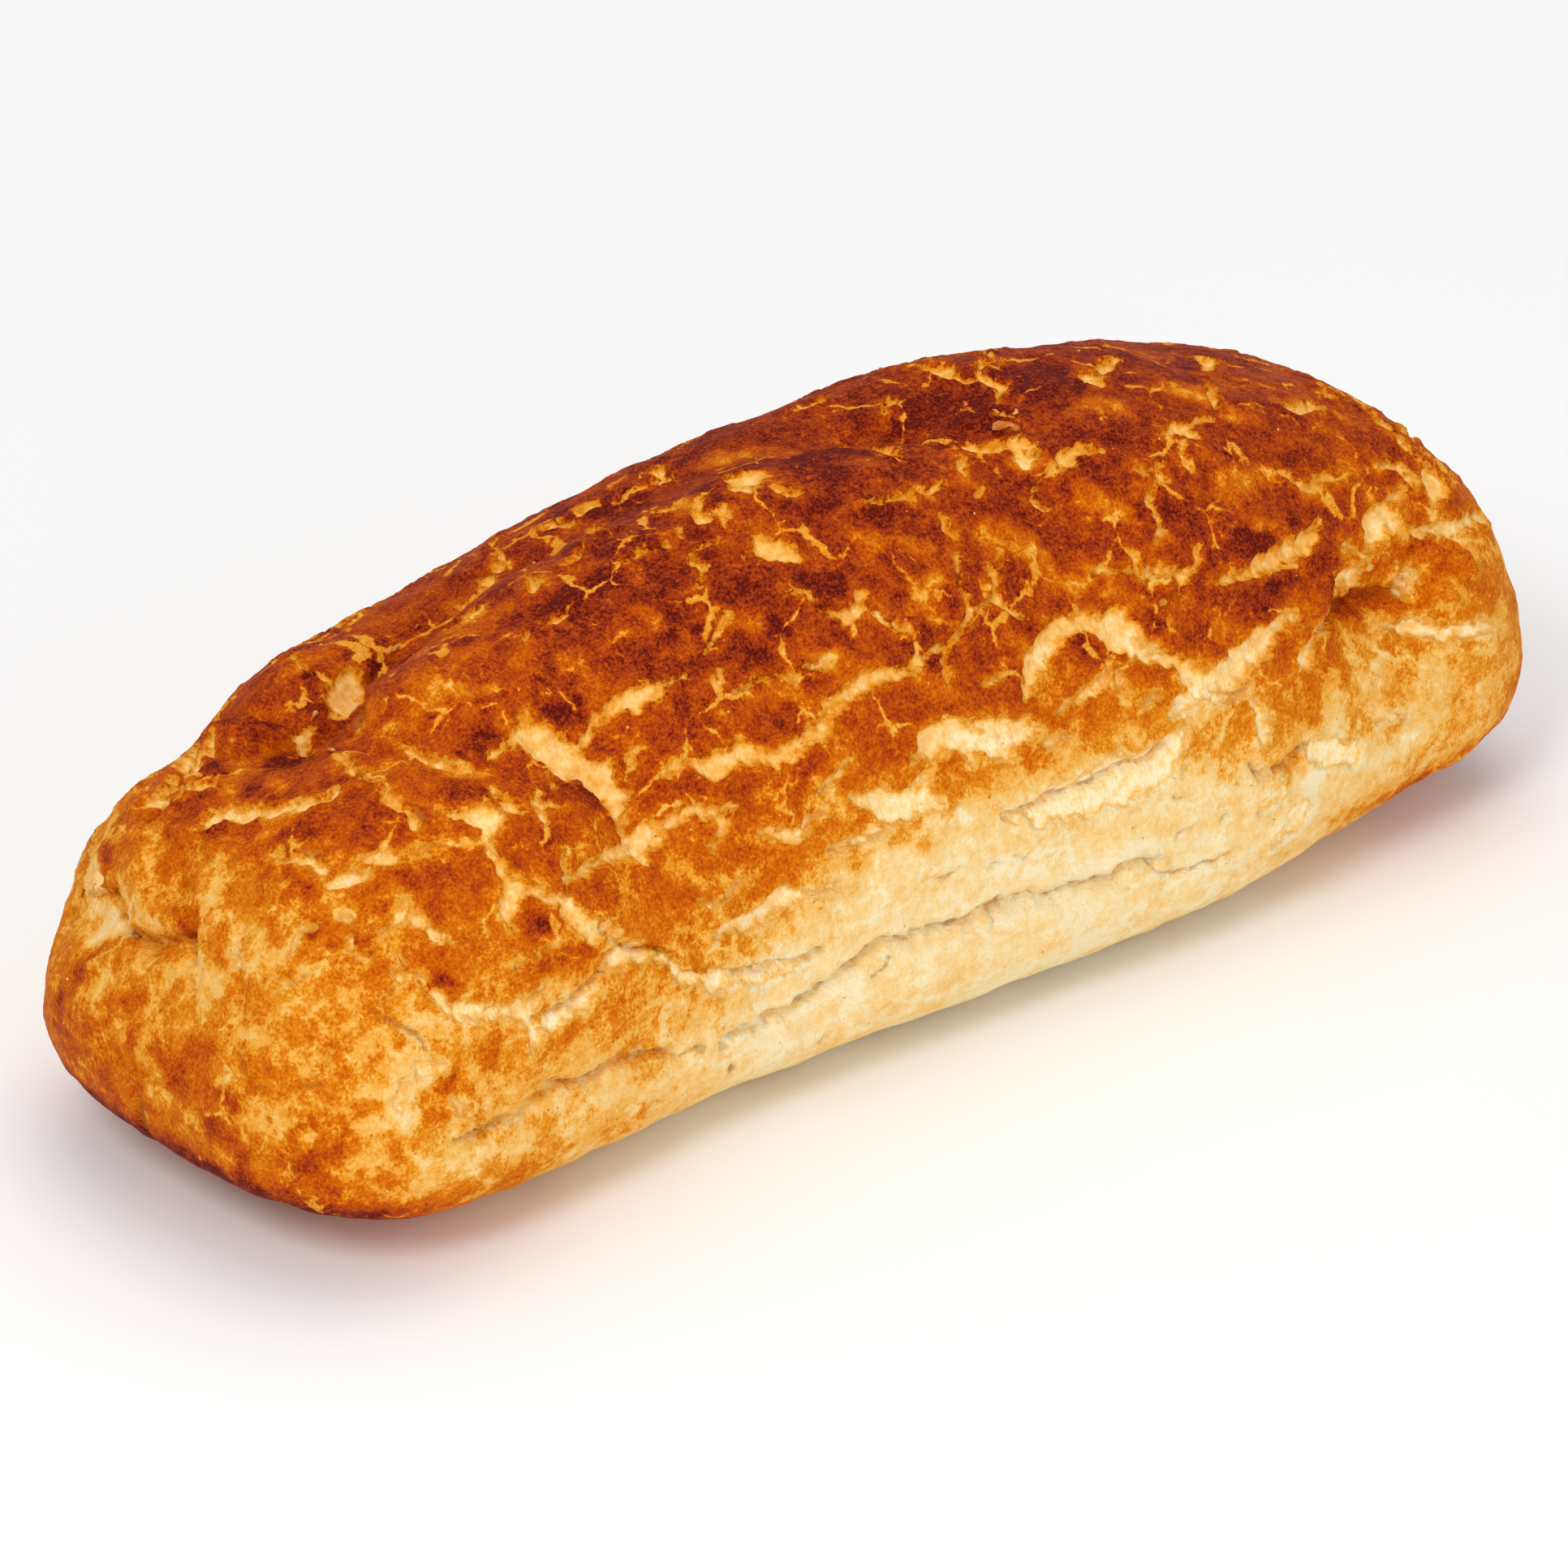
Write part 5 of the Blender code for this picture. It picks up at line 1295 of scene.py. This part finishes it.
def doughFibre(settings):
    # torn dough: fine streaks that run up the sides, as the tears open lengthwise, and soft clouds
    group, place, result = numberGroup("doughFibre", settings["clouds"])
    bend = noiseNode(group, place, {"Scale": 1 / settings["bendSize"]}).outputs["Color"]
    bent = calcVector(group, "MULTIPLY_ADD", bend, settings["bendReach"], place)
    sources = {"Streak": scaled(group, bent, settings["drawn"]), "Cloud": place}
    for name, look in settings["clouds"].items():
        soft = cloud(group, sources[name], *look)
        group.links.new(fade(group, soft, *settings["contrast"], shape="LINEAR"), result[name])
    return group


crustSettings = {
    # crust from unbaked dough to nearly burnt; extra blue in the darkest stops is painted sheen
    "bakeAndSheenStops": ((0.0, (255, 237, 192)), (0.05, (255, 224, 160)), (0.15, (253, 204, 122)),
                  (0.25, (248, 183, 84)), (0.35, (241, 162, 50)), (0.45, (232, 141, 22)),
                  (0.55, (221, 119, 8)), (0.65, (208, 98, 3)), (0.75, (191, 77, 6)),
                  (0.85, (166, 57, 14)), (0.95, (132, 37, 14)), (1.05, (92, 19, 11))),
    # where a line has four numbers, the first two say from where to where something changes, and the
    # last two its value at either end; a name that ends in one of the clouds' names is an amount of it

    # where plates cover the skin
    "jagNoise": (2.6, 5.0, 0.7),            # size, detail and roughness
    "rimJag": 4.0,
    "rimPull": 0.50,            # how far a crack eats into the plates beside it
    "rimReach": (-0.6, 0.9),
    "jointShut": (0.60, 0.92, 0.34, 0.0),   # in millimetres, how much joints narrow, by the bake
    "jointMottle": 0.9,
    "jointReach": (-0.4, 0.4),
    "jointPull": (0.45, 0.85, 0.26, 0.56),  # how far joints eat into the plates, by the bake
    "coverSlope": 0.54,         # how fast the plates close up as the bake gets darker
    "coverMiddle": 0.40,        # the level where they cover half
    "palePull": (0.18, 0.22),   # below this bake, and by so much, plates die out
    "coverPlates": 1.0,
    "coverMottle": 0.40,
    "coverGrain": 0.22,
    "coverSoft": 0.07,

    # how far along the browning is
    "haloPlates": 7.0,
    "rimHalo": 0.11,            # how much paler the crust gets towards a crack
    "haloReach": (0.0, 2.4),
    "veinMottle": 3.0,
    "jointHalo": 0.11,          # and towards a joint
    "veinReach": (-0.5, 0.9),
    "levelPlates": (0.25, 0.75, 0.26, 0.50),
    "levelBlotch": 0.26,
    "levelMottle": 0.50,
    "plateLevel": (0.0, 1.0, 0.10, 0.99),   # plates, skin between them and torn dough
    "skinLevel": (0.0, 0.7, 0.02, 0.52),
    "doughLevel": (0.3, 1.0, 0.02, 0.21),
    "bandStretch": (0.35, 0.8, 1.0),
    "bandNoise": (4.0, 4.0, 0.6),
    "bandAmount": 0.24,
    "mixGrain": (0.0, 0.6, 0.16, 0.85),
    "jointPale": (0.45, 0.85, 0.04, 0.15),  # how much paler the skin in joints is, by the bake
    "doughStreak": 0.07,
    "doughCloud": 0.20,
    # browner just inside a crack's rim: toasting, raised further as painted shade on the crack walls
    "doughRim": (-1.3, 0.1, 0.0, 0.18),
    "bareMottle": 1.0,
    "bareReach": (0.3, -0.4),
    "speckStrength": 0.7,
    "speckColour": (84, 38, 16),
    # painted shade: a warm brown laid along slits and folded edges, where their grooves are in shade
    "slitShadeJag": 0.9,
    "slitReach": (0.30, -0.35, 0.0, 0.72),
    "slitShadeColour": (176, 112, 48),

    # surface
    "roughness": (0.85, 0.60),  # between the plates, and on them
    "sheen": 0.04,
    "bumpGrain": 0.45,
    "bumpPlates": 1.40,
    "bumpCrust": (-0.9, 0.3, 0.20, 1.0),
    "bumpStreak": (-0.9, 0.3, 0.20, 0.0),
    "bumpEdge": (-0.5, 0.4, 0.0, 0.25),
}


def attribute(tree, name):
    return addNode(tree, "ShaderNodeAttribute", {"attribute_name": name}).outputs["Fac"]


def buildCrust(settings, mottle, fibre):
    material, tree, shader = newMaterial("tigerCrust")
    place = scaled(tree, addNode(tree, "ShaderNodeTexCoord").outputs["Object"], 1 / mm)
    bakeHere = attribute(tree, "bakeLevel")
    slitHere = attribute(tree, "slitGap")
    crackHere = attribute(tree, "crackGap")
    spots = addNode(tree, "ShaderNodeGroup", {"node_tree": mottle}, {"Vector": place}).outputs
    tears = addNode(tree, "ShaderNodeGroup", {"node_tree": fibre}, {"Vector": place}).outputs
    jag = calc(tree, "SUBTRACT", cloud(tree, place, *settings["jagNoise"]), 0.5)
    rim = calc(tree, "MULTIPLY_ADD", jag, settings["rimJag"], crackHere)

    # plates: brown where ragged noise and the bake together pass a threshold; cracks push it down
    field = fade(tree, rim, *settings["rimReach"], -settings["rimPull"], 0.0)
    jointHere = calc(tree, "ADD", spots["Joint Gap"], fade(tree, bakeHere, *settings["jointShut"]))
    jointHere = swing(tree, spots["Mottle"], settings["jointMottle"], jointHere)
    parted = fade(tree, jointHere, *settings["jointReach"], 1.0, 0.0)
    pull = fade(tree, bakeHere, *settings["jointPull"])
    field = calc(tree, "SUBTRACT", field, calc(tree, "MULTIPLY", parted, pull))
    field = swing(tree, spots["Plates"], settings["coverPlates"], field)
    slope = settings["coverSlope"]
    cover = calc(tree, "MULTIPLY_ADD", bakeHere, slope, -slope * settings["coverMiddle"])
    field = calc(tree, "ADD", field, cover)
    start, pull = settings["palePull"]
    field = calc(tree, "ADD", field, fade(tree, bakeHere, 0.0, start, -pull, 0.0))
    field = swing(tree, spots["Mottle"], settings["coverMottle"], field)
    field = swing(tree, spots["Grain"], settings["coverGrain"], field)
    plate = fade(tree, field, -settings["coverSoft"], settings["coverSoft"])

    # one path of browning: dough, skin and plates differ only in how far along it they are
    nearCrack = swing(tree, spots["Plates"], settings["haloPlates"], crackHere)
    level = fade(tree, nearCrack, *settings["haloReach"], -settings["rimHalo"], 0.0)
    nearJoint = swing(tree, spots["Mottle"], settings["veinMottle"], spots["Joint Gap"])
    vein = fade(tree, nearJoint, *settings["veinReach"], -settings["jointHalo"], 0.0)
    level = calc(tree, "ADD", calc(tree, "ADD", level, vein), bakeHere)
    level = swing(tree, spots["Plates"], fade(tree, bakeHere, *settings["levelPlates"]), level)
    level = swing(tree, spots["Blotch"], settings["levelBlotch"], level)
    level = swing(tree, spots["Mottle"], settings["levelMottle"], level)
    plateLevel = fade(tree, level, *settings["plateLevel"], shape="LINEAR")
    skinLevel = fade(tree, level, *settings["skinLevel"], shape="LINEAR")
    band = cloud(tree, scaled(tree, place, settings["bandStretch"]), *settings["bandNoise"])
    skinLevel = swing(tree, band, settings["bandAmount"], skinLevel)
    mix = blend(tree, plate, skinLevel, plateLevel)
    mix = swing(tree, spots["Grain"], fade(tree, mix, *settings["mixGrain"]), mix)
    paler = fade(tree, bakeHere, *settings["jointPale"])
    mix = calc(tree, "SUBTRACT", mix, calc(tree, "MULTIPLY", parted, paler))
    doughLevel = fade(tree, bakeHere, *settings["doughLevel"])
    doughLevel = swing(tree, tears["Streak"], settings["doughStreak"], doughLevel)
    doughLevel = swing(tree, tears["Cloud"], settings["doughCloud"], doughLevel)
    # browner just inside the rim: toasting, and painted shade on the crack walls
    doughLevel = calc(tree, "ADD", doughLevel, fade(tree, rim, *settings["doughRim"]))
    bare = fade(tree, swing(tree, spots["Mottle"], settings["bareMottle"], rim), *settings["bareReach"])
    # the darkest colours carry painted sheen as a touch of blue
    colour = colourRamp(tree, blend(tree, bare, mix, doughLevel), settings["bakeAndSheenStops"])
    colour = blendColour(tree, calc(tree, "MULTIPLY", spots["Speck"], settings["speckStrength"]), colour,
                         daylight(*settings["speckColour"]))
    # painted shade along the slits: the skin turns warm brown there
    slit = calc(tree, "MULTIPLY_ADD", jag, settings["slitShadeJag"], slitHere)
    colour = blendColour(tree, fade(tree, slit, *settings["slitReach"]), colour,
                         daylight(*settings["slitShadeColour"]))
    tree.links.new(colour, shader.inputs["Base Color"])
    tree.links.new(fade(tree, plate, 0.0, 1.0, *settings["roughness"]), shader.inputs["Roughness"])
    shader.inputs["Specular IOR Level"].default_value = settings["sheen"]

    relief = swing(tree, spots["Grain"], settings["bumpGrain"], 0.0)
    relief = swing(tree, spots["Plates"], settings["bumpPlates"], relief)
    relief = calc(tree, "MULTIPLY", relief, fade(tree, rim, *settings["bumpCrust"]))
    streaks = calc(tree, "MULTIPLY", tears["Streak"], fade(tree, rim, *settings["bumpStreak"]))
    relief = calc(tree, "ADD", relief, streaks)
    relief = calc(tree, "ADD", relief, fade(tree, rim, *settings["bumpEdge"]))
    bump = addNode(tree, "ShaderNodeBump", None, {"Strength": 1.0, "Distance": mm, "Height": relief})
    tree.links.new(bump.outputs[0], shader.inputs["Normal"])
    return material


fibreGroup = doughFibre(fibreSettings)
crustMaterial = buildCrust(crustSettings, crustMottle(mottleSettings), fibreGroup)


# relief of the baked skin

reliefSettings = {
    "Crack Depth": 0.95,
    "Crack Floor": 0.8,         # more depth in the middle of wide cracks
    "Rim Curl": 0.45,
    "Slit Depth": 0.8,
    "Fold Depth": 1.0,
    "Lump Height": 2.0,
    "Lump Size": 12.0,
    "Pucker Height": 0.9,
    "Pucker Size": 3.6,
    "Seed": 4.0,
}
reliefRanges = {
    # from where to where something comes in, and if that isn't from 0 to 1, its value at either end
    "skin": (-0.3, 0.5),
    "crackWall": (0.35, -0.45),
    "crackFloor": (-0.4, -2.6),
    "crackBake": (0.10, 0.50, -0.42, -1.0),     # in pale dough cracks are less deep
    "curlRise": (0.0, 0.5),
    "curlFall": (2.2, 0.4),
    "slitWall": (0.8, -0.3),
    "puckerBake": (0.05, 0.50, 0.35, 1.0),
    "offBoard": (0.2, 3.0),
}
lumpMiddle = 0.62       # noise above this swells the skin, noise below it sinks it


def geometryTree(name, settings):
    # a tree that turns one mesh into another, with a number socket for each setting
    tree = bpy.data.node_groups.new(name, "GeometryNodeTree")
    sockets = tree.interface
    sockets.new_socket("Geometry", in_out="INPUT", socket_type="NodeSocketGeometry")
    for label, value in settings.items():
        sockets.new_socket(label, in_out="INPUT", socket_type="NodeSocketFloat").default_value = value
    sockets.new_socket("Geometry", in_out="OUTPUT", socket_type="NodeSocketGeometry")
    return tree, tree.nodes.new("NodeGroupInput").outputs


def finishTree(tree, mesh, material):
    dressed = addNode(tree, "GeometryNodeSetMaterial", None, {"Geometry": mesh, "Material": material})
    tree.links.new(dressed.outputs[0], tree.nodes.new("NodeGroupOutput").inputs[0])
    return tree


def placeHere(tree):
    return scaled(tree, tree.nodes.new("GeometryNodeInputPosition").outputs[0], 1 / mm)


def named(tree, name):
    node = addNode(tree, "GeometryNodeInputNamedAttribute", {"data_type": "FLOAT"}, {"Name": name})
    return node.outputs["Attribute"]


def heightOf(tree, place):
    return addNode(tree, "ShaderNodeSeparateXYZ", None, {0: place}).outputs[2]


def joinXYZ(tree, *values):
    return addNode(tree, "ShaderNodeCombineXYZ", None, dict(enumerate(values))).outputs[0]


def stretched(tree, vector, factor):
    return addNode(tree, "ShaderNodeVectorMath", {"operation": "SCALE"},
                   {0: vector, "Scale": factor}).outputs[0]


def moved(tree, mesh, offset):
    return addNode(tree, "GeometryNodeSetPosition", None, {"Geometry": mesh, "Offset": offset}).outputs[0]


def realized(tree, mesh):
    return addNode(tree, "GeometryNodeRealizeInstances", None, {0: mesh}).outputs[0]


def reliefTree(settings, ranges, material):
    tree, source = geometryTree("crustRelief", settings)
    place = calcVector(tree, "ADD", placeHere(tree), joinXYZ(tree, source["Seed"], source["Seed"]))
    crackGap = named(tree, "crackGap")
    bakeHere = named(tree, "bakeLevel")

    def lumps(size, detail):
        scale = calc(tree, "DIVIDE", 1.0, size)
        return calc(tree, "SUBTRACT", noiseNode(tree, place, {"Scale": scale, "Detail": detail}).outputs[0],
                    lumpMiddle)

    lift = calc(tree, "MULTIPLY", fade(tree, crackGap, *ranges["crackWall"]), source["Crack Depth"])
    floor = fade(tree, crackGap, *ranges["crackFloor"])
    lift = calc(tree, "MULTIPLY_ADD", floor, source["Crack Floor"], lift)
    lift = calc(tree, "MULTIPLY", lift, fade(tree, bakeHere, *ranges["crackBake"]))
    curl = calc(tree, "MULTIPLY", fade(tree, crackGap, *ranges["curlRise"]),
                fade(tree, crackGap, *ranges["curlFall"]))
    lift = calc(tree, "MULTIPLY_ADD", curl, source["Rim Curl"], lift)
    slit = fade(tree, named(tree, "slitGap"), *ranges["slitWall"])
    lift = calc(tree, "SUBTRACT", lift, calc(tree, "MULTIPLY", slit, source["Slit Depth"]))
    fold = calc(tree, "MULTIPLY", named(tree, "foldDepth"), source["Fold Depth"])
    lift = calc(tree, "SUBTRACT", lift, fold)
    lift = calc(tree, "MULTIPLY_ADD", lumps(source["Lump Size"], 1.0), source["Lump Height"], lift)
    pucker = calc(tree, "MULTIPLY", lumps(source["Pucker Size"], 2.0), source["Pucker Height"])
    crust = calc(tree, "MULTIPLY", fade(tree, crackGap, *ranges["skin"]),
                 fade(tree, bakeHere, *ranges["puckerBake"]))
    lift = calc(tree, "MULTIPLY_ADD", pucker, crust, lift)
    lift = calc(tree, "MULTIPLY", lift, fade(tree, heightOf(tree, place), *ranges["offBoard"]))
    push = stretched(tree, tree.nodes.new("GeometryNodeInputNormal").outputs[0],
                     calc(tree, "MULTIPLY", lift, mm))
    return finishTree(tree, realized(tree, moved(tree, source["Geometry"], push)), material)


def applyTree(thing, tree, settings):
    # runs a node tree on an object and keeps what comes out as its plain mesh
    modifier = thing.modifiers.new("tree", "NODES")
    modifier.node_group = tree
    for item in tree.interface.items_tree:
        if item.in_out == "INPUT" and item.name in settings:
            modifier[item.identifier] = settings[item.name]
    graph = bpy.context.evaluated_depsgraph_get()
    mesh = bpy.data.meshes.new_from_object(thing.evaluated_get(graph))
    thing.modifiers.remove(modifier)
    thing.data = mesh
    return mesh


def keepInBox(mesh):
    low, high = (np.array(corner) for corner in cadBox)
    points = np.empty(len(mesh.vertices) * 3, dtype=np.float32)
    mesh.vertices.foreach_get("co", points)
    points = np.clip(points.reshape(-1, 3), low, high)
    mesh.vertices.foreach_set("co", points.ravel())
    mesh.update()


def showPiece(piece):
    keepInBox(piece.data)
    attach(piece, "root")
    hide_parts("tiger_loaf")
    print(piece.name, len(piece.data.polygons), "faces")


def buildLoaf():
    crackGap, slitGap, foldDepth = values.T
    mesh = plainMesh("loafSkin", skinPoints, skinFaces,
                     {"crackGap": crackGap, "slitGap": slitGap, "foldDepth": foldDepth, "bakeLevel": bake})
    loaf = bpy.data.objects.new("tigerLoafCrust", mesh)
    bpy.context.collection.objects.link(loaf)
    made = applyTree(loaf, reliefTree(reliefSettings, reliefRanges, crustMaterial), reliefSettings)
    made.name = "tigerLoafCrust"
    made.shade_smooth()
    showPiece(loaf)
    return loaf


loaf = buildLoaf()


# crumbs that lie on the loaf

crumbSettings = {
    "Density": 2600.0,      # to a square metre
    "Smallest": 0.2,
    "Largest": 0.55,
    "Narrowest": 0.5,       # width as a share of length
    "Flatness": 0.75,
    "Gap From": -9.0,
    "Gap To": 9.0,
    "Lowest": 14.0,
    "Roughness": 0.5,
    "Rough Scale": 1.6,
    "Seed": 7.0,
}


def randomValue(tree, low, high, seed):
    return addNode(tree, "FunctionNodeRandomValue", {"data_type": "FLOAT"},
                   {2: low, 3: high, "Seed": seed}).outputs[1]


def scatterTree(settings, material):
    # sets small ragged pebbles on the loaf where the gap and the height allow; sizes are diameters
    tree, source = geometryTree("scatter", settings)
    place = placeHere(tree)
    crackGap = named(tree, "crackGap")
    allowed = calc(tree, "MULTIPLY", calc(tree, "GREATER_THAN", crackGap, source["Gap From"]),
                   calc(tree, "LESS_THAN", crackGap, source["Gap To"]))
    raised = calc(tree, "GREATER_THAN", heightOf(tree, place), source["Lowest"])
    density = calc(tree, "MULTIPLY", calc(tree, "MULTIPLY", allowed, raised), source["Density"])
    seed = addNode(tree, "FunctionNodeFloatToInt", None, {0: source["Seed"]}).outputs[0]
    spots = addNode(tree, "GeometryNodeDistributePointsOnFaces", {"distribute_method": "RANDOM"},
                    {"Mesh": source["Geometry"], "Density": density, "Seed": seed}).outputs
    ball = addNode(tree, "GeometryNodeMeshIcoSphere", None,
                   {"Radius": 0.5 * mm, "Subdivisions": 2}).outputs[0]
    pebble = addNode(tree, "GeometryNodeTransform", None,
                     {"Geometry": ball, "Scale": joinXYZ(tree, 1.0, 1.0, source["Flatness"])}).outputs[0]
    spin = randomValue(tree, 0.0, 2 * math.pi, seed)
    turned = addNode(tree, "FunctionNodeRotateEuler", {"rotation_type": "AXIS_ANGLE", "space": "LOCAL"},
                     {"Rotation": spots["Rotation"], "Axis": (0, 0, 1), "Angle": spin}).outputs[0]
    length = randomValue(tree, source["Smallest"], source["Largest"], seed)
    width = calc(tree, "MULTIPLY", length, randomValue(tree, source["Narrowest"], 1.0, seed))
    crumbs = addNode(tree, "GeometryNodeInstanceOnPoints", None,
                     {"Points": spots["Points"], "Instance": pebble, "Rotation": turned,
                      "Scale": joinXYZ(tree, length, width, length)}).outputs[0]
    wobble = noiseNode(tree, place, {"Scale": source["Rough Scale"]}).outputs["Color"]
    push = calcVector(tree, "MULTIPLY_ADD", wobble, (mm, mm, mm), (-mm / 2, -mm / 2, -mm / 2))
    ragged = moved(tree, realized(tree, crumbs), stretched(tree, push, source["Roughness"]))
    return finishTree(tree, ragged, material)


# the matte colours of crumbs, flakes and blisters, each a drift between two
bitSettings = {
    "paleCrumb": ((0.2, (250, 206, 140)), (0.8, (226, 150, 80))),
    "flakeSkin": ((0.2, (240, 176, 96)), (0.8, (206, 112, 40))),
    "blisterSkin": ((0.2, (234, 150, 48)), (0.8, (210, 112, 22))),
    "roughness": 0.85,
    "sheen": 0.06,
}


def bitMaterial(name, settings, fibre):
    material, tree, shader = newMaterial(name)
    place = scaled(tree, addNode(tree, "ShaderNodeTexCoord").outputs["Object"], 1 / mm)
    tears = addNode(tree, "ShaderNodeGroup", {"node_tree": fibre}, {"Vector": place}).outputs
    tree.links.new(colourRamp(tree, tears["Cloud"], settings[name]), shader.inputs["Base Color"])
    shader.inputs["Roughness"].default_value = settings["roughness"]
    shader.inputs["Specular IOR Level"].default_value = settings["sheen"]
    return material


def buildScatter(name, settings, material):
    piece = bpy.data.objects.new(name, loaf.data.copy())
    bpy.context.collection.objects.link(piece)
    made = applyTree(piece, scatterTree(settings, material), settings)
    made.name = name
    showPiece(piece)


buildScatter("looseCrumbs", crumbSettings, bitMaterial("paleCrumb", bitSettings, fibreGroup))


# flakes of crust that stand off the skin, and small blisters in it

flakes = (
    # corners in the photograph's pixels, each with its lift towards the camera in millimetres
    ((1222, 530, 0.1), (1223, 522, 0.7), (1230, 518, 1.2), (1245, 520, 1.4), (1256, 525, 1.2),
     (1257, 529, 0.8), (1251, 533, 0.3), (1245, 528, 0.2), (1231, 530, 0.1)),
    ((1223, 505, 0.5), (1228, 505, 0.7), (1232, 508, 0.4), (1231, 511, 0.1), (1226, 510, 0.1)),
    ((1247, 511, 0.1), (1250, 508, 0.4), (1251, 504, 0.8), (1254, 506, 0.8), (1255, 509, 0.4),
     (1251, 511, 0.1)),
    ((481, 799, 0.7), (485, 798, 0.5), (489, 794, 0.6), (492, 795, 0.4), (492, 798, 0.2), (488, 801, 0.1),
     (484, 804, 0.3)),
    ((403, 925, 0.5), (408, 922, 0.7), (412, 923, 0.5), (414, 926, 0.2), (408, 926, 0.1)),
    ((386, 876, 0.7), (390, 875, 0.7), (392, 878, 0.4), (388, 882, 0.2), (383, 889, 0.2), (381, 888, 0.4),
     (384, 882, 0.6)),
    ((511, 773, 0.3), (513, 769, 0.8), (516, 769, 0.7), (514, 773, 0.3), (512, 775, 0.1)),
)
blisters = ((257, 1132, 8), (150, 1277, 9))      # middle and radius in the photograph's pixels
flakeSettings = {"thickness": 0.25}
blisterSettings = {"rise": 0.45}


def buildDetail(name, shape, material):
    mesh = bpy.data.meshes.new(name)
    bmesh.ops.recalc_face_normals(shape, faces=shape.faces)
    shape.to_mesh(mesh)
    shape.free()
    mesh.materials.append(material)
    mesh.shade_smooth()
    piece = bpy.data.objects.new(name, mesh)
    bpy.context.collection.objects.link(piece)
    showPiece(piece)


def shapeFlakes(skin, outlines, settings):
    shape = bmesh.new()
    for outline in outlines:
        corners = []
        for x, y, lift in outline:
            found = skin.ray_cast(camera.location, pixelRay(x, y))[0]
            corners.append(shape.verts.new(found - pixelRay(x, y).normalized() * lift * mm))
        shape.faces.new(corners)
    bmesh.ops.poke(shape, faces=shape.faces[:])
    bmesh.ops.solidify(shape, geom=shape.faces[:], thickness=settings["thickness"] * mm)
    return shape


def shapeBlisters(skin, spots, settings):
    shape = bmesh.new()
    for x, y, radius in spots:
        found, normal = skin.ray_cast(camera.location, pixelRay(x, y))[:2]
        size = radius * cameraSettings["pixelSize"] * mm
        turn = normal.to_track_quat("Z", "Y").to_matrix().to_4x4()
        flat = Matrix.Diagonal((size, size, settings["rise"] * mm, 1))
        lying = Matrix.Translation(found) @ turn @ flat
        bmesh.ops.create_icosphere(shape, subdivisions=3, radius=1.0, matrix=lying)
    return shape


finished = BVHTree.FromObject(loaf, bpy.context.evaluated_depsgraph_get())
buildDetail("liftedFlakes", shapeFlakes(finished, flakes, flakeSettings),
            bitMaterial("flakeSkin", bitSettings, fibreGroup))
buildDetail("blisters", shapeBlisters(finished, blisters, blisterSettings),
            bitMaterial("blisterSkin", bitSettings, fibreGroup))


# stage and light

stageSettings = {
    "floorHalf": 6.0,       # metres
    "floorColour": (0.98, 0.98, 0.98, 1),
    "floorRoughness": 0.9,
    "floorSheen": 0.1,
    "world": 0.52,
    "lights": {
        # name: place, size, strength in watts; all look at the loaf
        "windowLeft": ((-1200, -500, 1300), 600, 10),
        "windowFront": ((-300, -1600, 600), 1300, 8),
        "skylight": ((500, 500, 1700), 1600, 10),
    },
}


def buildStage(settings):
    mesh = bpy.data.meshes.new("floor")
    half = settings["floorHalf"]
    corners = [(-half, -half, 0), (half, -half, 0), (half, half, 0), (-half, half, 0)]
    mesh.from_pydata(corners, [], [(0, 1, 2, 3)])
    floor = bpy.data.objects.new("floor", mesh)
    bpy.context.collection.objects.link(floor)
    material, _, shader = newMaterial("paleFloor")
    shader.inputs["Base Color"].default_value = settings["floorColour"]
    shader.inputs["Roughness"].default_value = settings["floorRoughness"]
    shader.inputs["Specular IOR Level"].default_value = settings["floorSheen"]
    mesh.materials.append(material)

    world = bpy.data.worlds.new("softRoom")
    world.use_nodes = True
    sky = world.node_tree.nodes["Background"].inputs
    sky["Color"].default_value = (1, 1, 1, 1)
    sky["Strength"].default_value = settings["world"]
    bpy.context.scene.world = world
    for name, (place, size, power) in settings["lights"].items():
        data = bpy.data.lights.new(name, "AREA")
        data.size = size * mm
        data.energy = power
        light = bpy.data.objects.new(name, data)
        light.location = Vector(place) * mm
        light.rotation_euler = (-light.location).to_track_quat("-Z", "Y").to_euler()
        bpy.context.collection.objects.link(light)
    bpy.context.scene.view_settings.view_transform = "Standard"


buildStage(stageSettings)
print("stage ready")
